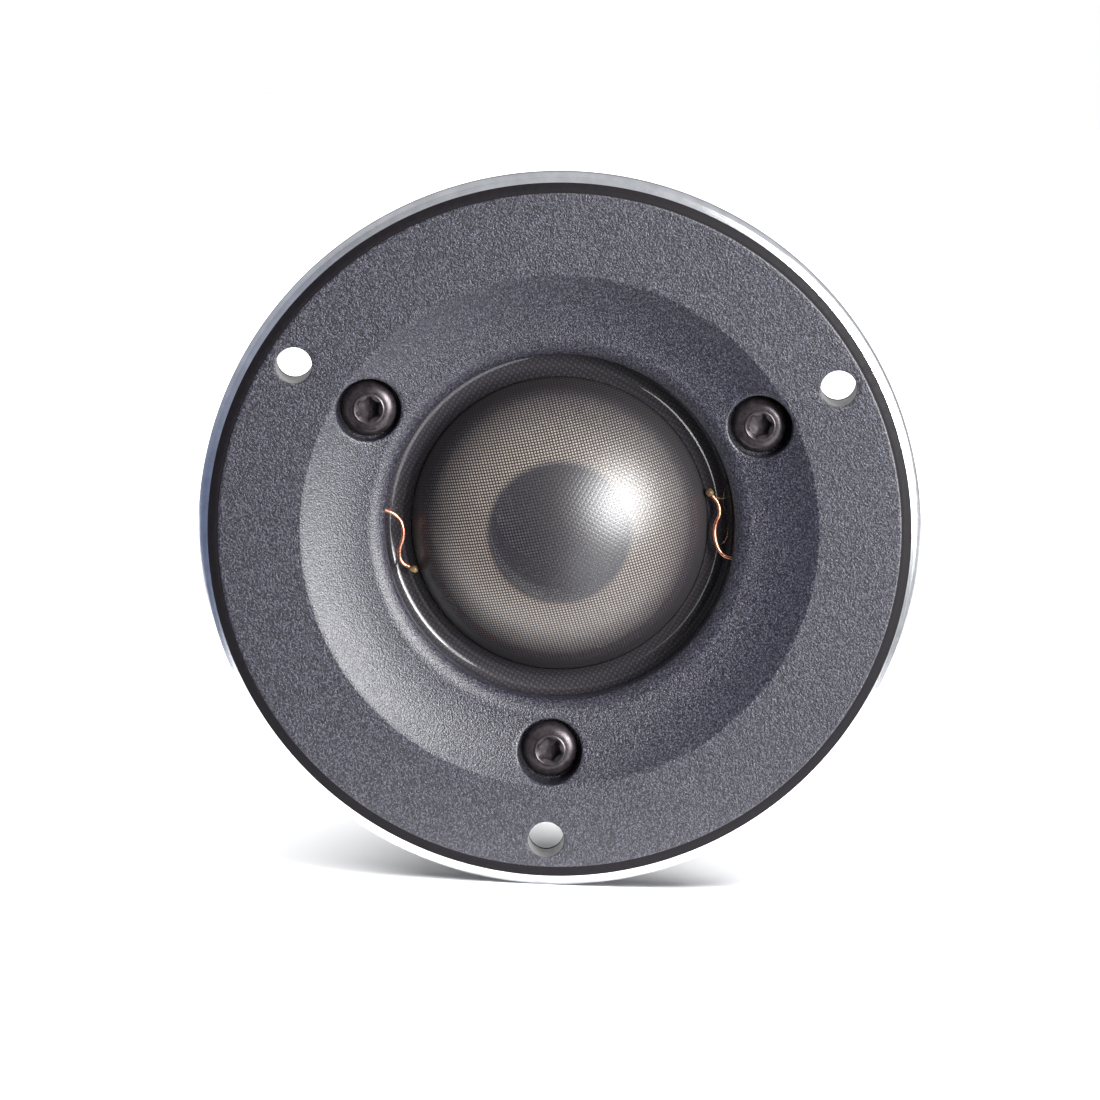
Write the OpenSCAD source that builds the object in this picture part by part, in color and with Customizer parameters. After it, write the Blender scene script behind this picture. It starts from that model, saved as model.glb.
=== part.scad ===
// Soft-dome car tweeter: a textured aluminium faceplate, a woven dome on a 28 mm voice coil,
// a neodymium ring motor in an aluminium barrel and a rear chamber with two tab terminals.
// Each sub-part is drawn on a working axis with z pointing forward, out of the dome.
// facing() turns it into the frame: the tweeter faces -Y, +Z is up, and the origin is the
// centre of the flange's rear face, on the axis.

/* [Faceplate] */
// Overall diameter of the faceplate
plate_d = 72; // [71:0.5:76]
// Thickness of the flange
flange_t = 4; // [3.8:0.1:4.6]
// Diameter of the circle that the mounting holes lie on
mount_pcd = 62.5; // [61.5:0.5:63]
// Diameter of each mounting hole
mount_hole_d = 3.6; // [3.2:0.1:4]
// Diameter of the crease where the dished recess meets the flat face
recess_d = 51.6; // [51.6:0.2:54]
// Diameter of the throat, where the plate ends over the surround
throat_d = 34.9; // [34.7:0.1:35.3]
// Diameter of the circle that the faceplate screws lie on
screw_pcd = 45; // [44.6:0.1:45.2]

/* [Diaphragm] */
// Diameter of the dome at its base
dome_d = 29.64; // [29.5:0.02:29.7]
// Radius of the sphere that the dome is part of
dome_sphere_r = 17.5; // [17:0.1:19]
// Distance of the dome's base behind the flange's rear face
dome_base = 1.2; // [1.1:0.1:1.3]
// Thickness of the coated fabric
fabric_t = 0.25; // [0.15:0.05:0.3]

/* [Motor] */
// Inside diameter of the voice coil former
coil_d = 28.1; // [28:0.05:28.2]
// Length of the winding
winding_h = 3.6; // [3:0.2:4]
// Thickness of the steel top plate
top_plate_t = 3; // [2.8:0.1:3.2]
// Thickness of the magnet ring
magnet_h = 5; // [4.6:0.2:5.4]
// Thickness of the steel back plate
back_plate_t = 4; // [3.8:0.1:4.4]
// Diameter of the vent through the pole piece
vent_d = 13.6; // [13:0.2:14]
// Diameter of the hole in the felt ring under the dome
felt_hole_d = 13.6; // [13:0.2:14.4]

/* [Housing] */
// Outside diameter of the motor barrel
barrel_d = 55; // [54.8:0.2:56]
// Outside diameter of the rear chamber
chamber_d = 38.8; // [38.6:0.1:39.2]
// Depth of the rear chamber behind the motor
chamber_h = 11.3; // [11:0.1:13]
// Width of the positive tab terminal
positive_tab_w = 4.8; // [4.8, 6.3]
// Width of the negative tab terminal
negative_tab_w = 2.8; // [2.8, 4.8]

/* [Hidden] */
$fn = 96;
eps = 0.01;

// Clearance between pieces that slide together on assembly
fit = 0.1;
// The three screws and the three mounting holes share these directions, degrees
tri = [30, 150, 270];
// The chamber screws stand between them
tri_between = [90, 210, 330];
// Directions of the coil leads' exits under the lip, degrees: left, right
lead_dirs = [177.5, -8.5];

// Faceplate
plate_r = plate_d / 2;
band_in_r = plate_r - 2;
band_out_r = plate_r - 0.9;
band_drop = 0.45;
band_lead_w = 0.35;
band_lead_drop = 0.08;
rim_drop = 1;
rim_edge_h = 1.1;
back_relief = 1.8;
crease_slope = 27;
dish_slope = 5;
wall_slope = 75;
lip_z = 0.1 - dome_base;
roll_r = 2.8;
lip_step = 3.2;
pocket_r = 20.5;
lead_slot_w = 2.2;
lead_slot_top = 0.1;
roll_start_r = throat_d / 2 + 0.41 + roll_r * (sin(wall_slope) - sin(dish_slope));
dish_r = (recess_d / 2 - roll_start_r) / (sin(crease_slope) - sin(dish_slope));
gasket_t = 0.6;
gasket_clear = 1.2;

// M3 button-head screws
m3_r = 1.45;
m3_hole_r = 1.6;
m3_tapped_r = 1.5;
m3_head_d = 5.7;
m3_head_h = 1.65;
m3_len = 6;
m3_hex = 2;
counterbore_d = 6.4;
seat_z = 0.6;

// Diaphragm and surround
base_z = -dome_base;
dome_r = dome_d / 2;
dome_centre_z = base_z - sqrt(pow(dome_sphere_r, 2) - pow(dome_r, 2));
edge_gap = 0.06;
trough_in_r = dome_r + edge_gap;
trough_out_r = 17.8;
trough_mid_r = (trough_in_r + trough_out_r) / 2;
trough_half = (trough_out_r - trough_in_r) / 2;
trough_r = 1.62;
trough_angle = asin(trough_half / trough_r);
trough_centre_z = base_z + trough_r * cos(trough_angle);
carrier_in_r = 18.05;
carrier_out_r = pocket_r - fit;
carrier_top_z = lip_z - fabric_t;
flat_in_r = trough_out_r + 0.2;
flat_out_r = carrier_out_r - 0.2;
former_t = 0.15;
former_r = coil_d / 2;
winding_t = 0.42;
winding_top_z = -2.9;
former_tail = 0.5;
eyelet_r = 19.1;
eyelet_flange_r = 1;
eyelet_flange_h = 0.15;
eyelet_stem_r = 0.5;
eyelet_cutout_r = 1.15;
solder_r = 0.95;
solder_h = 0.6;

// Motor stack, from the top plate's front face backwards
motor_z = -lip_step;
gap_r = 15.05;
barrel_r = barrel_d / 2;
barrel_wall = 1.8;
motor_r = barrel_r - barrel_wall - fit;
wire_channel = 2.2;
magnet_r = motor_r - wire_channel;
magnet_hole_r = 17.5;
magnet_z = motor_z - top_plate_t;
back_z = magnet_z - magnet_h;
stack_z = back_z - back_plate_t;
pole_r = 13.4;
pole_waist_r = 12.6;
pole_foot_r = 9;
pole_top_z = -2.6;
cap_t = 0.25;
cap_h = 5;
cap_hole_r = vent_d / 2 + 0.4;
felt_r = 13.2;
felt_gap = 0.8;
groove_w = 1.6;
groove_r_in = 18.2;
back_groove_r_in = 12;

// Barrel and rear chamber
barrel_chamfer = 0.6;
chamber_gasket_t = 0.5;
cup_flange_t = 1.5;
cup_z = stack_z - chamber_gasket_t;
cup_wall = 1.2;
cup_floor = 1.4;
cup_chamfer = 1.2;
cup_back_z = cup_z - chamber_h;
chamber_screw_r = 22.3;
m25_r = 1.2;
m25_hole_r = 1.35;
m25_tapped_r = 1.25;
m25_gasket_hole_r = 1.5;
m25_len = 5;
m25_head_d = 4.6;
m25_head_h = 1.35;
m25_hex = 1.5;
wool_h = 4.6;
wool_gap = 0.6;
wool_clear = 0.3;
wire_well_r = 13.5;
wire_well_hole_r = 1;

// Terminals
board_size = [27, 10, 1.6];
window_size = [16, 6.4];
rivet_x = 5.5;
rivet_r = 1.1;
rivet_head_r = 1.6;
rivet_head_h = 0.4;
board_screw_x = 11;
m2_r = 0.95;
m2_tapped_r = 1;
m2_hole_r = 1.1;
m2_len = 3.6;
m2_head_d = 3.5;
m2_head_h = 1.05;
m2_hex = 1.3;
tab_t = 0.5;
tab_foot_h = 6;
tab_len = 6.5;
tab_hole_inset = 1.8;
positive_tab_hole_d = 1.5;
negative_tab_hole_d = 1.1;

// Wires
lead_wire_d = 0.4;
glue_r = 0.45;
glue_reach = glue_r + 0.02;
hookup_wire_d = 1.1;
// Left coil lead, from the eyelet over the surround to the dome's edge
left_route = [
    [-19.1, 0.8, -0.9], [-18.5, 0.85, -0.35], [-17.7, 0.8, -0.2], [-16.6, 0.4, -0.25],
    [-15.9, -0.3, -0.4], [-15.6, -1.2, -0.4], [-15.6, -2.1, -0.4], [-15.85, -3.1, -0.5],
    [-15.8, -4.1, -0.55], [-15.4, -4.7, -0.65], [-14.8, -5, -0.7],
];
// Right coil lead, the same way round
right_route = [
    [18.9, -2.8, -0.9], [18.3, -2.8, -0.35], [17.5, -2.65, -0.2], [16.65, -2.45, -0.25],
    [16.05, -1.9, -0.35], [15.65, -1, -0.4], [15.5, 0, -0.4], [15.6, 0.85, -0.4],
    [15.9, 1.7, -0.45], [15.85, 2.4, -0.55], [15.6, 3, -0.6], [15.15, 3.5, -0.65],
];

// ---- Helpers ----

module facing() rotate([90, 0, 0]) children();

// Copies the children at distance r from the axis in each direction
module around(dirs, r = 0) for (a = dirs) rotate(a) translate([r, 0, 0]) children();

// A plain tube or disc from z0 up to z1
module ring(r_out, r_in, z0, z1) {
    translate([0, 0, z0]) difference() {
        cylinder(r = r_out, h = z1 - z0);
        if (r_in > 0) translate([0, 0, -1]) cylinder(r = r_in, h = z1 - z0 + 2);
    }
}

// A round cutter from z0 up to z1
module drill(r, z0, z1) translate([0, 0, z0]) cylinder(r = r, h = z1 - z0);

// Points of an arc, from angle a0 to a1 measured from the r axis
function arc(c, r, a0, a1, n = 12) =
    [for (i = [0:n]) let (a = a0 + (a1 - a0) * i / n) c + r * [cos(a), sin(a)]];

function unit(v) = v / norm(v);

// Catmull-Rom points between each pair of route points
function spline(p, steps = 3) = [
    for (i = [0:len(p) - 2], k = [0:steps - 1])
        let (a = p[max(i - 1, 0)], b = p[i], c = p[i + 1], d = p[min(i + 2, len(p) - 1)], t = k / steps)
        0.5 * (2 * b + (c - a) * t + (2 * a - 5 * b + 4 * c - d) * t * t
            + (3 * b - a - 3 * c + d) * t * t * t),
    p[len(p) - 1],
];

// Side vector of a tube at each point, carried from ring to ring so the tube doesn't twist
function carried(t, i) = i == 0
    ? unit(cross(t[0], abs(t[0][2]) < 0.9 ? [0, 0, 1] : [0, 1, 0]))
    : let (s = carried(t, i - 1)) unit(s - (s * t[i]) * t[i]);

// A round tube of diameter d along the points p, closed at both ends
module tube(p, d, sides = 8) {
    n = len(p);
    t = [for (i = [0:n - 1]) unit(p[min(i + 1, n - 1)] - p[max(i - 1, 0)])];
    points = [
        for (i = [0:n - 1])
            let (s = carried(t, i), u = cross(t[i], s))
            for (k = [0:sides - 1])
                p[i] + d / 2 * (cos(360 * k / sides) * s + sin(360 * k / sides) * u),
    ];
    walls = [
        for (i = [0:n - 2], k = [0:sides - 1])
            let (a = i * sides, b = a + sides, m = (k + 1) % sides)
            [a + k, a + m, b + m, b + k],
    ];
    start_cap = [[for (k = [sides - 1:-1:0]) k]];
    end_cap = [[for (k = [0:sides - 1]) (n - 1) * sides + k]];
    polyhedron(points = points, faces = concat(start_cap, walls, end_cap), convexity = 6);
}

// A button-head screw with its head's underside at z = 0, pointing backwards
module button_screw(r, len, head_d, head_h, hex) {
    brim_h = 0.35;
    flat_r = 0.8 * hex;
    socket_h = 0.55 * hex;
    countersink = 0.14 * hex;
    point = 0.3;
    crown = [for (i = [1:8]) let (a = 90 * i / 8)
        [head_d / 2 - (head_d / 2 - flat_r) * (1 - cos(a)), brim_h + (head_h - brim_h) * sin(a)]];
    difference() {
        rotate_extrude($fn = 48) polygon(concat(
            [[0, -len], [r - point, -len], [r, point - len], [r, 0], [head_d / 2, 0], [head_d / 2, brim_h]],
            crown, [[0, head_h]]
        ));
        translate([0, 0, head_h - socket_h]) cylinder(d = hex / cos(30), h = hex, $fn = 6);
        translate([0, 0, head_h - countersink])
            cylinder(r1 = hex / 2, r2 = hex / 2 + 2 * countersink, h = countersink + eps, $fn = 48);
    }
}

// ---- Faceplate ----

// Half section of the plate: dished recess, rolled lip, bevelled black band and bright rim
module faceplate_section() {
    dish_z = flange_t - dish_r * (cos(dish_slope) - cos(crease_slope));
    dish_centre = [recess_d / 2 - dish_r * sin(crease_slope), flange_t + dish_r * cos(crease_slope)];
    roll_centre = [roll_start_r + roll_r * sin(dish_slope), dish_z - roll_r * cos(dish_slope)];
    dish = arc(dish_centre, dish_r, 270 + crease_slope, 270 + dish_slope);
    roll = arc(roll_centre, roll_r, 90 + dish_slope, 90 + wall_slope, 14);
    polygon(concat(
        dish, roll,
        [[throat_d / 2, lip_z], [pocket_r, lip_z], [pocket_r, -lip_step], [barrel_r, -lip_step],
         [barrel_r, 0], [plate_r - back_relief, 0], [plate_r, flange_t - rim_drop - rim_edge_h],
         [plate_r, flange_t - rim_drop], [band_out_r, flange_t - band_drop],
         [band_in_r + band_lead_w, flange_t - band_lead_drop], [band_in_r, flange_t]]
    ));
}

module faceplate() color([0.32, 0.32, 0.34]) facing() difference() {
    rotate_extrude($fn = 180) faceplate_section();
    around(tri, mount_pcd / 2) drill(mount_hole_d / 2, -1, flange_t + 1);
    around(tri, screw_pcd / 2) {
        drill(m3_hole_r, -lip_step - 1, seat_z + 1);
        drill(counterbore_d / 2, seat_z, flange_t + 1);
    }
    for (a = lead_dirs) rotate(a) translate([throat_d / 2 - 1, -lead_slot_w / 2, lip_z - eps])
        cube([pocket_r - throat_d / 2 + 1 - eps, lead_slot_w, lead_slot_top - lip_z]);
}

module faceplate_screws() color([0.16, 0.14, 0.14]) facing()
    around(tri, screw_pcd / 2) translate([0, 0, seat_z])
        button_screw(m3_r, m3_len, m3_head_d, m3_head_h, m3_hex);

module flange_gasket() color([0.12, 0.12, 0.12]) facing() difference() {
    ring(plate_r - back_relief, barrel_r + gasket_clear, -gasket_t, 0);
    around(tri, mount_pcd / 2) drill(mount_hole_d / 2, -gasket_t - 1, 1);
}

// ---- Diaphragm ----

// Sphere shell down to a narrow flat that the former is glued under
module dome() color([0.45, 0.4, 0.33]) facing() rotate_extrude() {
    edge_angle = acos(dome_r / dome_sphere_r);
    inner_r = dome_sphere_r - fabric_t;
    inner_edge = acos(former_r / inner_r);
    polygon(concat(
        arc([0, dome_centre_z], dome_sphere_r, edge_angle, 90, 20),
        arc([0, dome_centre_z], inner_r, 90, inner_edge, 20),
        [[former_r, base_z - fabric_t], [dome_r, base_z - fabric_t]]
    ));
}

// Valley-shaped roll from the dome's edge out to the flat that is glued on the carrier
module surround() color([0.14, 0.14, 0.15]) facing() difference() {
    rotate_extrude($fn = 120) surround_section();
    around(lead_dirs, eyelet_r) drill(eyelet_cutout_r, carrier_top_z - 1, lip_z + 1);
}

module surround_section() {
    c = [trough_mid_r, trough_centre_z];
    under_r = trough_r + fabric_t;
    inner_cut = asin(trough_half / under_r);
    outer_cut = acos((trough_centre_z - carrier_top_z) / under_r);
    polygon(concat(
        arc(c, trough_r, 270 - trough_angle, 270 + trough_angle, 14),
        [[flat_in_r, lip_z], [flat_out_r, lip_z], [flat_out_r, carrier_top_z]],
        arc(c, under_r, 270 + outer_cut, 270 - inner_cut, 14)
    ));
}

module coil_former() color([0.72, 0.72, 0.74]) facing()
    ring(former_r + former_t, former_r, winding_top_z - winding_h - former_tail, base_z - fabric_t);

module coil_winding() color([0.72, 0.42, 0.25]) facing()
    ring(former_r + former_t + winding_t, former_r + former_t, winding_top_z - winding_h, winding_top_z);

// Drops of adhesive on the dome's edge, one past the end of each lead
module lead_glue() color([0.75, 0.68, 0.5]) facing() for (route = [left_route, right_route]) {
    last = len(route) - 1;
    translate(route[last] + glue_reach * unit(route[last] - route[last - 1])) sphere(r = glue_r, $fn = 24);
}

module coil_lead_left() color([0.8, 0.45, 0.3]) facing() tube(spline(left_route), lead_wire_d);

module coil_lead_right() color([0.8, 0.45, 0.3]) facing() tube(spline(right_route), lead_wire_d);

// Solder that joins each lead to its eyelet
module lead_solder() color([0.75, 0.75, 0.76]) facing()
    around(lead_dirs, eyelet_r) translate([0, 0, carrier_top_z + eyelet_flange_h])
        cylinder(r1 = solder_r, r2 = eyelet_stem_r, h = solder_h, $fn = 32);

module lead_eyelets() color([0.8, 0.68, 0.35]) facing() around(lead_dirs, eyelet_r) {
    ring(eyelet_flange_r, 0, carrier_top_z, carrier_top_z + eyelet_flange_h);
    ring(eyelet_stem_r, 0, motor_z + 0.3, carrier_top_z);
}

module carrier_ring() color([0.18, 0.18, 0.19]) facing() difference() {
    ring(carrier_out_r, carrier_in_r, motor_z, carrier_top_z);
    around(lead_dirs, eyelet_r) drill(eyelet_stem_r, motor_z - 1, carrier_top_z + 1);
}

// ---- Motor ----

// Radial wire grooves, cut forward from depth z0 to z1, with a notch through the edge
module wire_grooves(r_in, z0, z1, edge_z0, edge_z1) for (a = lead_dirs) rotate(a) {
    translate([r_in, -groove_w / 2, z0]) cube([motor_r - r_in + 1, groove_w, z1 - z0]);
    translate([magnet_r + 0.3, -groove_w / 2, edge_z0]) cube([4, groove_w, edge_z1 - edge_z0]);
}

module top_plate() color([0.6, 0.6, 0.62]) facing() difference() {
    ring(motor_r, gap_r, magnet_z, motor_z);
    around(tri, screw_pcd / 2) drill(m3_tapped_r, magnet_z - 1, motor_z + 1);
    wire_grooves(groove_r_in, motor_z - groove_w, motor_z + 1, magnet_z - 1, motor_z + 1);
}

module magnet_ring() color([0.78, 0.79, 0.8]) facing() ring(magnet_r, magnet_hole_r, back_z, magnet_z);

module back_plate() color([0.6, 0.6, 0.62]) facing() difference() {
    ring(motor_r, pole_foot_r + 0.02, stack_z, back_z);
    around(tri_between, chamber_screw_r) drill(m25_tapped_r, stack_z - 1, back_z + 1);
    wire_grooves(back_groove_r_in, stack_z - 1, stack_z + groove_w, stack_z - 1, back_z + 1);
}

module pole_piece() color([0.55, 0.55, 0.57]) facing() rotate_extrude() polygon([
    [vent_d / 2, stack_z], [pole_foot_r, stack_z], [pole_foot_r, back_z], [pole_waist_r, back_z],
    [pole_waist_r, pole_top_z - cap_h - 1], [pole_r, pole_top_z - cap_h], [pole_r, pole_top_z],
    [vent_d / 2, pole_top_z],
]);

module copper_cap() color([0.72, 0.43, 0.3]) facing() {
    ring(pole_r + cap_t, pole_r + 0.01, pole_top_z - cap_h, pole_top_z + cap_t);
    ring(pole_r + 0.02, cap_hole_r, pole_top_z, pole_top_z + cap_t);
}

// Felt ring on the pole, whose face follows the inside of the dome
module pole_felt() color([0.62, 0.55, 0.42]) facing() rotate_extrude() {
    foot_z = pole_top_z + cap_t;
    hole_r = felt_hole_d / 2;
    face_r = dome_sphere_r - fabric_t - felt_gap;
    polygon(concat(
        [[hole_r, foot_z], [felt_r, foot_z]],
        [for (i = [0:20]) let (r = felt_r + (hole_r - felt_r) * i / 20)
            [r, dome_centre_z + sqrt(pow(face_r, 2) - pow(r, 2))]]
    ));
}

// ---- Housing ----

module motor_barrel() color([0.66, 0.67, 0.69]) facing() rotate_extrude($fn = 120) polygon([
    [barrel_r - barrel_wall, motor_z], [barrel_r, motor_z],
    [barrel_r, cup_z - cup_flange_t + barrel_chamfer], [barrel_r - barrel_chamfer, cup_z - cup_flange_t],
    [barrel_r - barrel_wall, cup_z - cup_flange_t],
]);

module chamber_gasket() color([0.12, 0.12, 0.12]) facing() difference() {
    ring(motor_r - 0.2, chamber_d / 2 - cup_wall, cup_z, stack_z);
    around(tri_between, chamber_screw_r) drill(m25_gasket_hole_r, cup_z - 1, stack_z + 1);
}

module chamber_cup() color([0.62, 0.63, 0.65]) facing() difference() {
    rotate_extrude($fn = 120) polygon([
        [0, cup_back_z], [chamber_d / 2 - cup_chamfer, cup_back_z], [chamber_d / 2, cup_back_z + cup_chamfer],
        [chamber_d / 2, cup_z - cup_flange_t], [motor_r, cup_z - cup_flange_t], [motor_r, cup_z],
        [chamber_d / 2 - cup_wall, cup_z], [chamber_d / 2 - cup_wall, cup_back_z + cup_floor],
        [0, cup_back_z + cup_floor],
    ]);
    around(tri_between, chamber_screw_r) drill(m25_hole_r, cup_z - cup_flange_t - 1, cup_z + 1);
    translate([-window_size[0] / 2, -window_size[1] / 2, cup_back_z - 1])
        cube([window_size[0], window_size[1], cup_floor + 2]);
    for (s = [-1, 1]) translate([s * board_screw_x, 0, 0]) drill(m2_tapped_r, cup_back_z - 1, cup_back_z + 3);
}

module chamber_screws() color([0.2, 0.2, 0.21]) facing()
    around(tri_between, chamber_screw_r) translate([0, 0, cup_z - cup_flange_t]) rotate([180, 0, 0])
        button_screw(m25_r, m25_len, m25_head_d, m25_head_h, m25_hex);

module chamber_wool() color([0.85, 0.84, 0.8]) facing() difference() {
    ring(chamber_d / 2 - cup_wall - wool_clear, 0, cup_z - wool_gap - wool_h, cup_z - wool_gap);
    around(lead_dirs, wire_well_r) drill(wire_well_hole_r, cup_z - wool_h - 2, cup_z);
}

// Route of a hook-up wire: from the eyelet, out along the top plate, down beside the magnet,
// in along the back plate, and back through the wool to its rivet
function hookup_route(dir, x_end) = let (
    out_r = motor_r - groove_w / 2,
    front_z = motor_z - groove_w / 2,
    rear_z = stack_z + groove_w / 2,
    floor_z = cup_back_z + cup_floor,
    bend = 1.2,
    p = function (r, z) [r * cos(dir), r * sin(dir), z]
) [
    p(eyelet_r, motor_z - 0.2), p(eyelet_r + 0.5, front_z), p(eyelet_r + 3, front_z),
    p(out_r - bend, front_z), p(out_r, front_z - bend), p(out_r, magnet_z), p(out_r, back_z),
    p(out_r, rear_z + bend), p(out_r - bend, rear_z), p(wire_well_r + 4, rear_z),
    p(wire_well_r + bend, rear_z), p(wire_well_r, rear_z - bend), p(wire_well_r, cup_z - wool_h - bend),
    p(wire_well_r - bend, floor_z + 2.6), [x_end + sign(x_end) * 1.4, 0, floor_z + 1.3],
    [x_end, 0, floor_z - 0.6],
];

module hookup_wire_positive() color("firebrick") facing()
    tube(spline(hookup_route(lead_dirs[0], -rivet_x), 2), hookup_wire_d);

module hookup_wire_negative() color([0.1, 0.1, 0.1]) facing()
    tube(spline(hookup_route(lead_dirs[1], rivet_x), 2), hookup_wire_d);

// ---- Terminals ----

board_z = cup_back_z - board_size[2];

module terminal_board() color([0.1, 0.1, 0.11]) facing() difference() {
    translate([-board_size[0] / 2, -board_size[1] / 2, board_z]) cube(board_size);
    for (s = [-1, 1]) {
        translate([s * rivet_x, 0, 0]) drill(rivet_r, board_z - 1, cup_back_z + 1);
        translate([s * board_screw_x, 0, 0]) drill(m2_hole_r, board_z - 1, cup_back_z + 1);
    }
}

module terminal_board_screws() color([0.7, 0.7, 0.71]) facing() for (s = [-1, 1])
    translate([s * board_screw_x, 0, board_z]) rotate([180, 0, 0])
        button_screw(m2_r, m2_len, m2_head_d, m2_head_h, m2_hex);

// Tab terminal: a riveted foot with a blade that stands out backwards from its end
module tab_terminal(x, w, hole_d) translate([x, 0, board_z]) difference() {
    union() {
        translate([-w / 2, -tab_foot_h / 2, -tab_t]) cube([w, tab_foot_h, tab_t]);
        translate([-w / 2, tab_foot_h / 2 - tab_t, -tab_len]) cube([w, tab_t, tab_len]);
    }
    drill(rivet_r, -tab_t - 1, 1);
    translate([0, tab_foot_h, tab_hole_inset - tab_len]) rotate([90, 0, 0])
        cylinder(d = hole_d, h = tab_foot_h, $fn = 32);
}

module terminal_positive() color([0.8, 0.8, 0.78]) facing()
    tab_terminal(-rivet_x, positive_tab_w, positive_tab_hole_d);

module terminal_negative() color([0.8, 0.8, 0.78]) facing()
    tab_terminal(rivet_x, negative_tab_w, negative_tab_hole_d);

module terminal_rivets() color([0.8, 0.68, 0.35]) facing() for (s = [-1, 1]) translate([s * rivet_x, 0, 0]) {
    ring(rivet_r, 0, board_z - tab_t, cup_back_z);
    ring(rivet_head_r, 0, board_z - tab_t - rivet_head_h, board_z - tab_t);
    ring(rivet_head_r, 0, cup_back_z, cup_back_z + rivet_head_h);
}

faceplate();
faceplate_screws();
flange_gasket();
dome();
surround();
coil_former();
coil_winding();
lead_glue();
coil_lead_left();
coil_lead_right();
lead_solder();
lead_eyelets();
carrier_ring();
top_plate();
magnet_ring();
back_plate();
pole_piece();
copper_cap();
pole_felt();
motor_barrel();
chamber_gasket();
chamber_cup();
chamber_screws();
chamber_wool();
hookup_wire_positive();
hookup_wire_negative();
terminal_board();
terminal_board_screws();
terminal_positive();
terminal_negative();
terminal_rivets();
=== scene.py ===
"""Soft-dome car tweeter: the looks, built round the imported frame.

Shapes are drawn in millimetres on working axes: x to the right, y up and z forward, out of the dome.
placed() turns them into the frame, which is in metres and faces -Y.
"""

import math

import bmesh
import bpy
import numpy as np
from mathutils import Matrix, Vector, noise
from mathutils.geometry import delaunay_2d_cdt

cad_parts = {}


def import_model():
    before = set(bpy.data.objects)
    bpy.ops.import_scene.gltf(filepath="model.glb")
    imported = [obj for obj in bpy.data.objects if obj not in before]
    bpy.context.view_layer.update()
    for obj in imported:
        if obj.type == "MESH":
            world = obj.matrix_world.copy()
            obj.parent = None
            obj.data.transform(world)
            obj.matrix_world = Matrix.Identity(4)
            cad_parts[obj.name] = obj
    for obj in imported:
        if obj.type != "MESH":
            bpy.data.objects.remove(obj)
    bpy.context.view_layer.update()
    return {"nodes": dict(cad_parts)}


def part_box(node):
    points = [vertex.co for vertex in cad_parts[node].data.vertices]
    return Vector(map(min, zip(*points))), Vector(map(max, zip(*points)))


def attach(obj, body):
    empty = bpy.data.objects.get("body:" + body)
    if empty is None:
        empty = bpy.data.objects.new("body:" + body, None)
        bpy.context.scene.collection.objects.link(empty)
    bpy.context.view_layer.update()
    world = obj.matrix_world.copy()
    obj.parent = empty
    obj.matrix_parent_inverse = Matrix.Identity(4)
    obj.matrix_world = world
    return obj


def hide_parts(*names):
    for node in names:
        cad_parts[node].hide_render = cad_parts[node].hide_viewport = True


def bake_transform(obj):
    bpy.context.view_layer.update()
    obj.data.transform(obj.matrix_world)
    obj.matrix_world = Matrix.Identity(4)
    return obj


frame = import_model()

MM = 0.001


def placed(point):
    """A point on the working axes, in millimetres, as a point of the frame, in metres."""
    x, y, z = point
    return Vector((x, -z, y)) * MM


def extent(node):
    """Lowest and highest corner of a CAD node on the working axes, in millimetres."""
    low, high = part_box(node)
    corners = (low.x, low.z, -high.y), (high.x, high.z, -low.y)
    return [[round(v / MM, 2) for v in corner] for corner in corners]


def widest(node):
    """Outside radius of a CAD node that is round about the axis."""
    return round(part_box(node)[1].x / MM, 2)


def depths(node):
    """Rear and front of a CAD node along the axis."""
    low, high = extent(node)
    return low[2], high[2]


# ---- Sizes ----

# Directions of the three screws and mounting holes, in degrees, and of the chamber screws between them
TRI = (30, 150, 270)
TRI_BETWEEN = (90, 210, 330)
# Directions of the coil leads' exits under the lip, left and right
LEAD_DIRS = (177.5, -8.5)

PLATE_R = widest("faceplate")
BOSS_Z, FLANGE_T = depths("faceplate")
BARREL_R = widest("motor_barrel")
DOME_R = widest("dome")
DOME_SPHERE_R = 17.5
DOME_APEX_Z = depths("dome")[1]
DOME_CENTRE_Z = DOME_APEX_Z - DOME_SPHERE_R
DOME_BASE_Z = DOME_CENTRE_Z + math.sqrt(DOME_SPHERE_R**2 - DOME_R**2)

# Faceplate section, as the CAD model draws it
THROAT_R = 17.45
RECESS_R = 25.8
LIP_Z = 0.1 + DOME_BASE_Z
POCKET_R = 20.5
ROLL_R = 2.35
WALL_DEGREES, DISH_DEGREES, CREASE_DEGREES = 54, 5, 27
WALL_SLOPE, DISH_SLOPE, CREASE_SLOPE = (math.radians(a) for a in (WALL_DEGREES, DISH_DEGREES, CREASE_DEGREES))
ROLL_START_R = THROAT_R + 0.06 + ROLL_R * (math.sin(WALL_SLOPE) - math.sin(DISH_SLOPE))
DISH_R = (RECESS_R - ROLL_START_R) / (math.sin(CREASE_SLOPE) - math.sin(DISH_SLOPE))
DISH_CENTRE = (RECESS_R - DISH_R * math.sin(CREASE_SLOPE), FLANGE_T + DISH_R * math.cos(CREASE_SLOPE))
DISH_Z = DISH_CENTRE[1] - DISH_R * math.cos(DISH_SLOPE)
ROLL_CENTRE = (ROLL_START_R + ROLL_R * math.sin(DISH_SLOPE), DISH_Z - ROLL_R * math.cos(DISH_SLOPE))
COAT_R = PLATE_R - 2
BAND_R = PLATE_R - 0.9
BARE_R = PLATE_R - 0.97
CUT_R = COAT_R - 0.04
CUT_W = 0.05
RIM_STEP_R = PLATE_R - 0.4
RIM_DROP = 1.0
RIM_EDGE_H = 1.1
BACK_R = PLATE_R - 1.8
# Holes: distance from the axis and radius
MOUNT_HOLE = (31.25, 1.8)
SCREW_HOLE = (22.5, 1.6)
COUNTERBORE_R = 3.2
SEAT_Z = 0.6
SLOT_TOP_Z = 0.1
SLOT_HALF_ANGLE = 3

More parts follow.
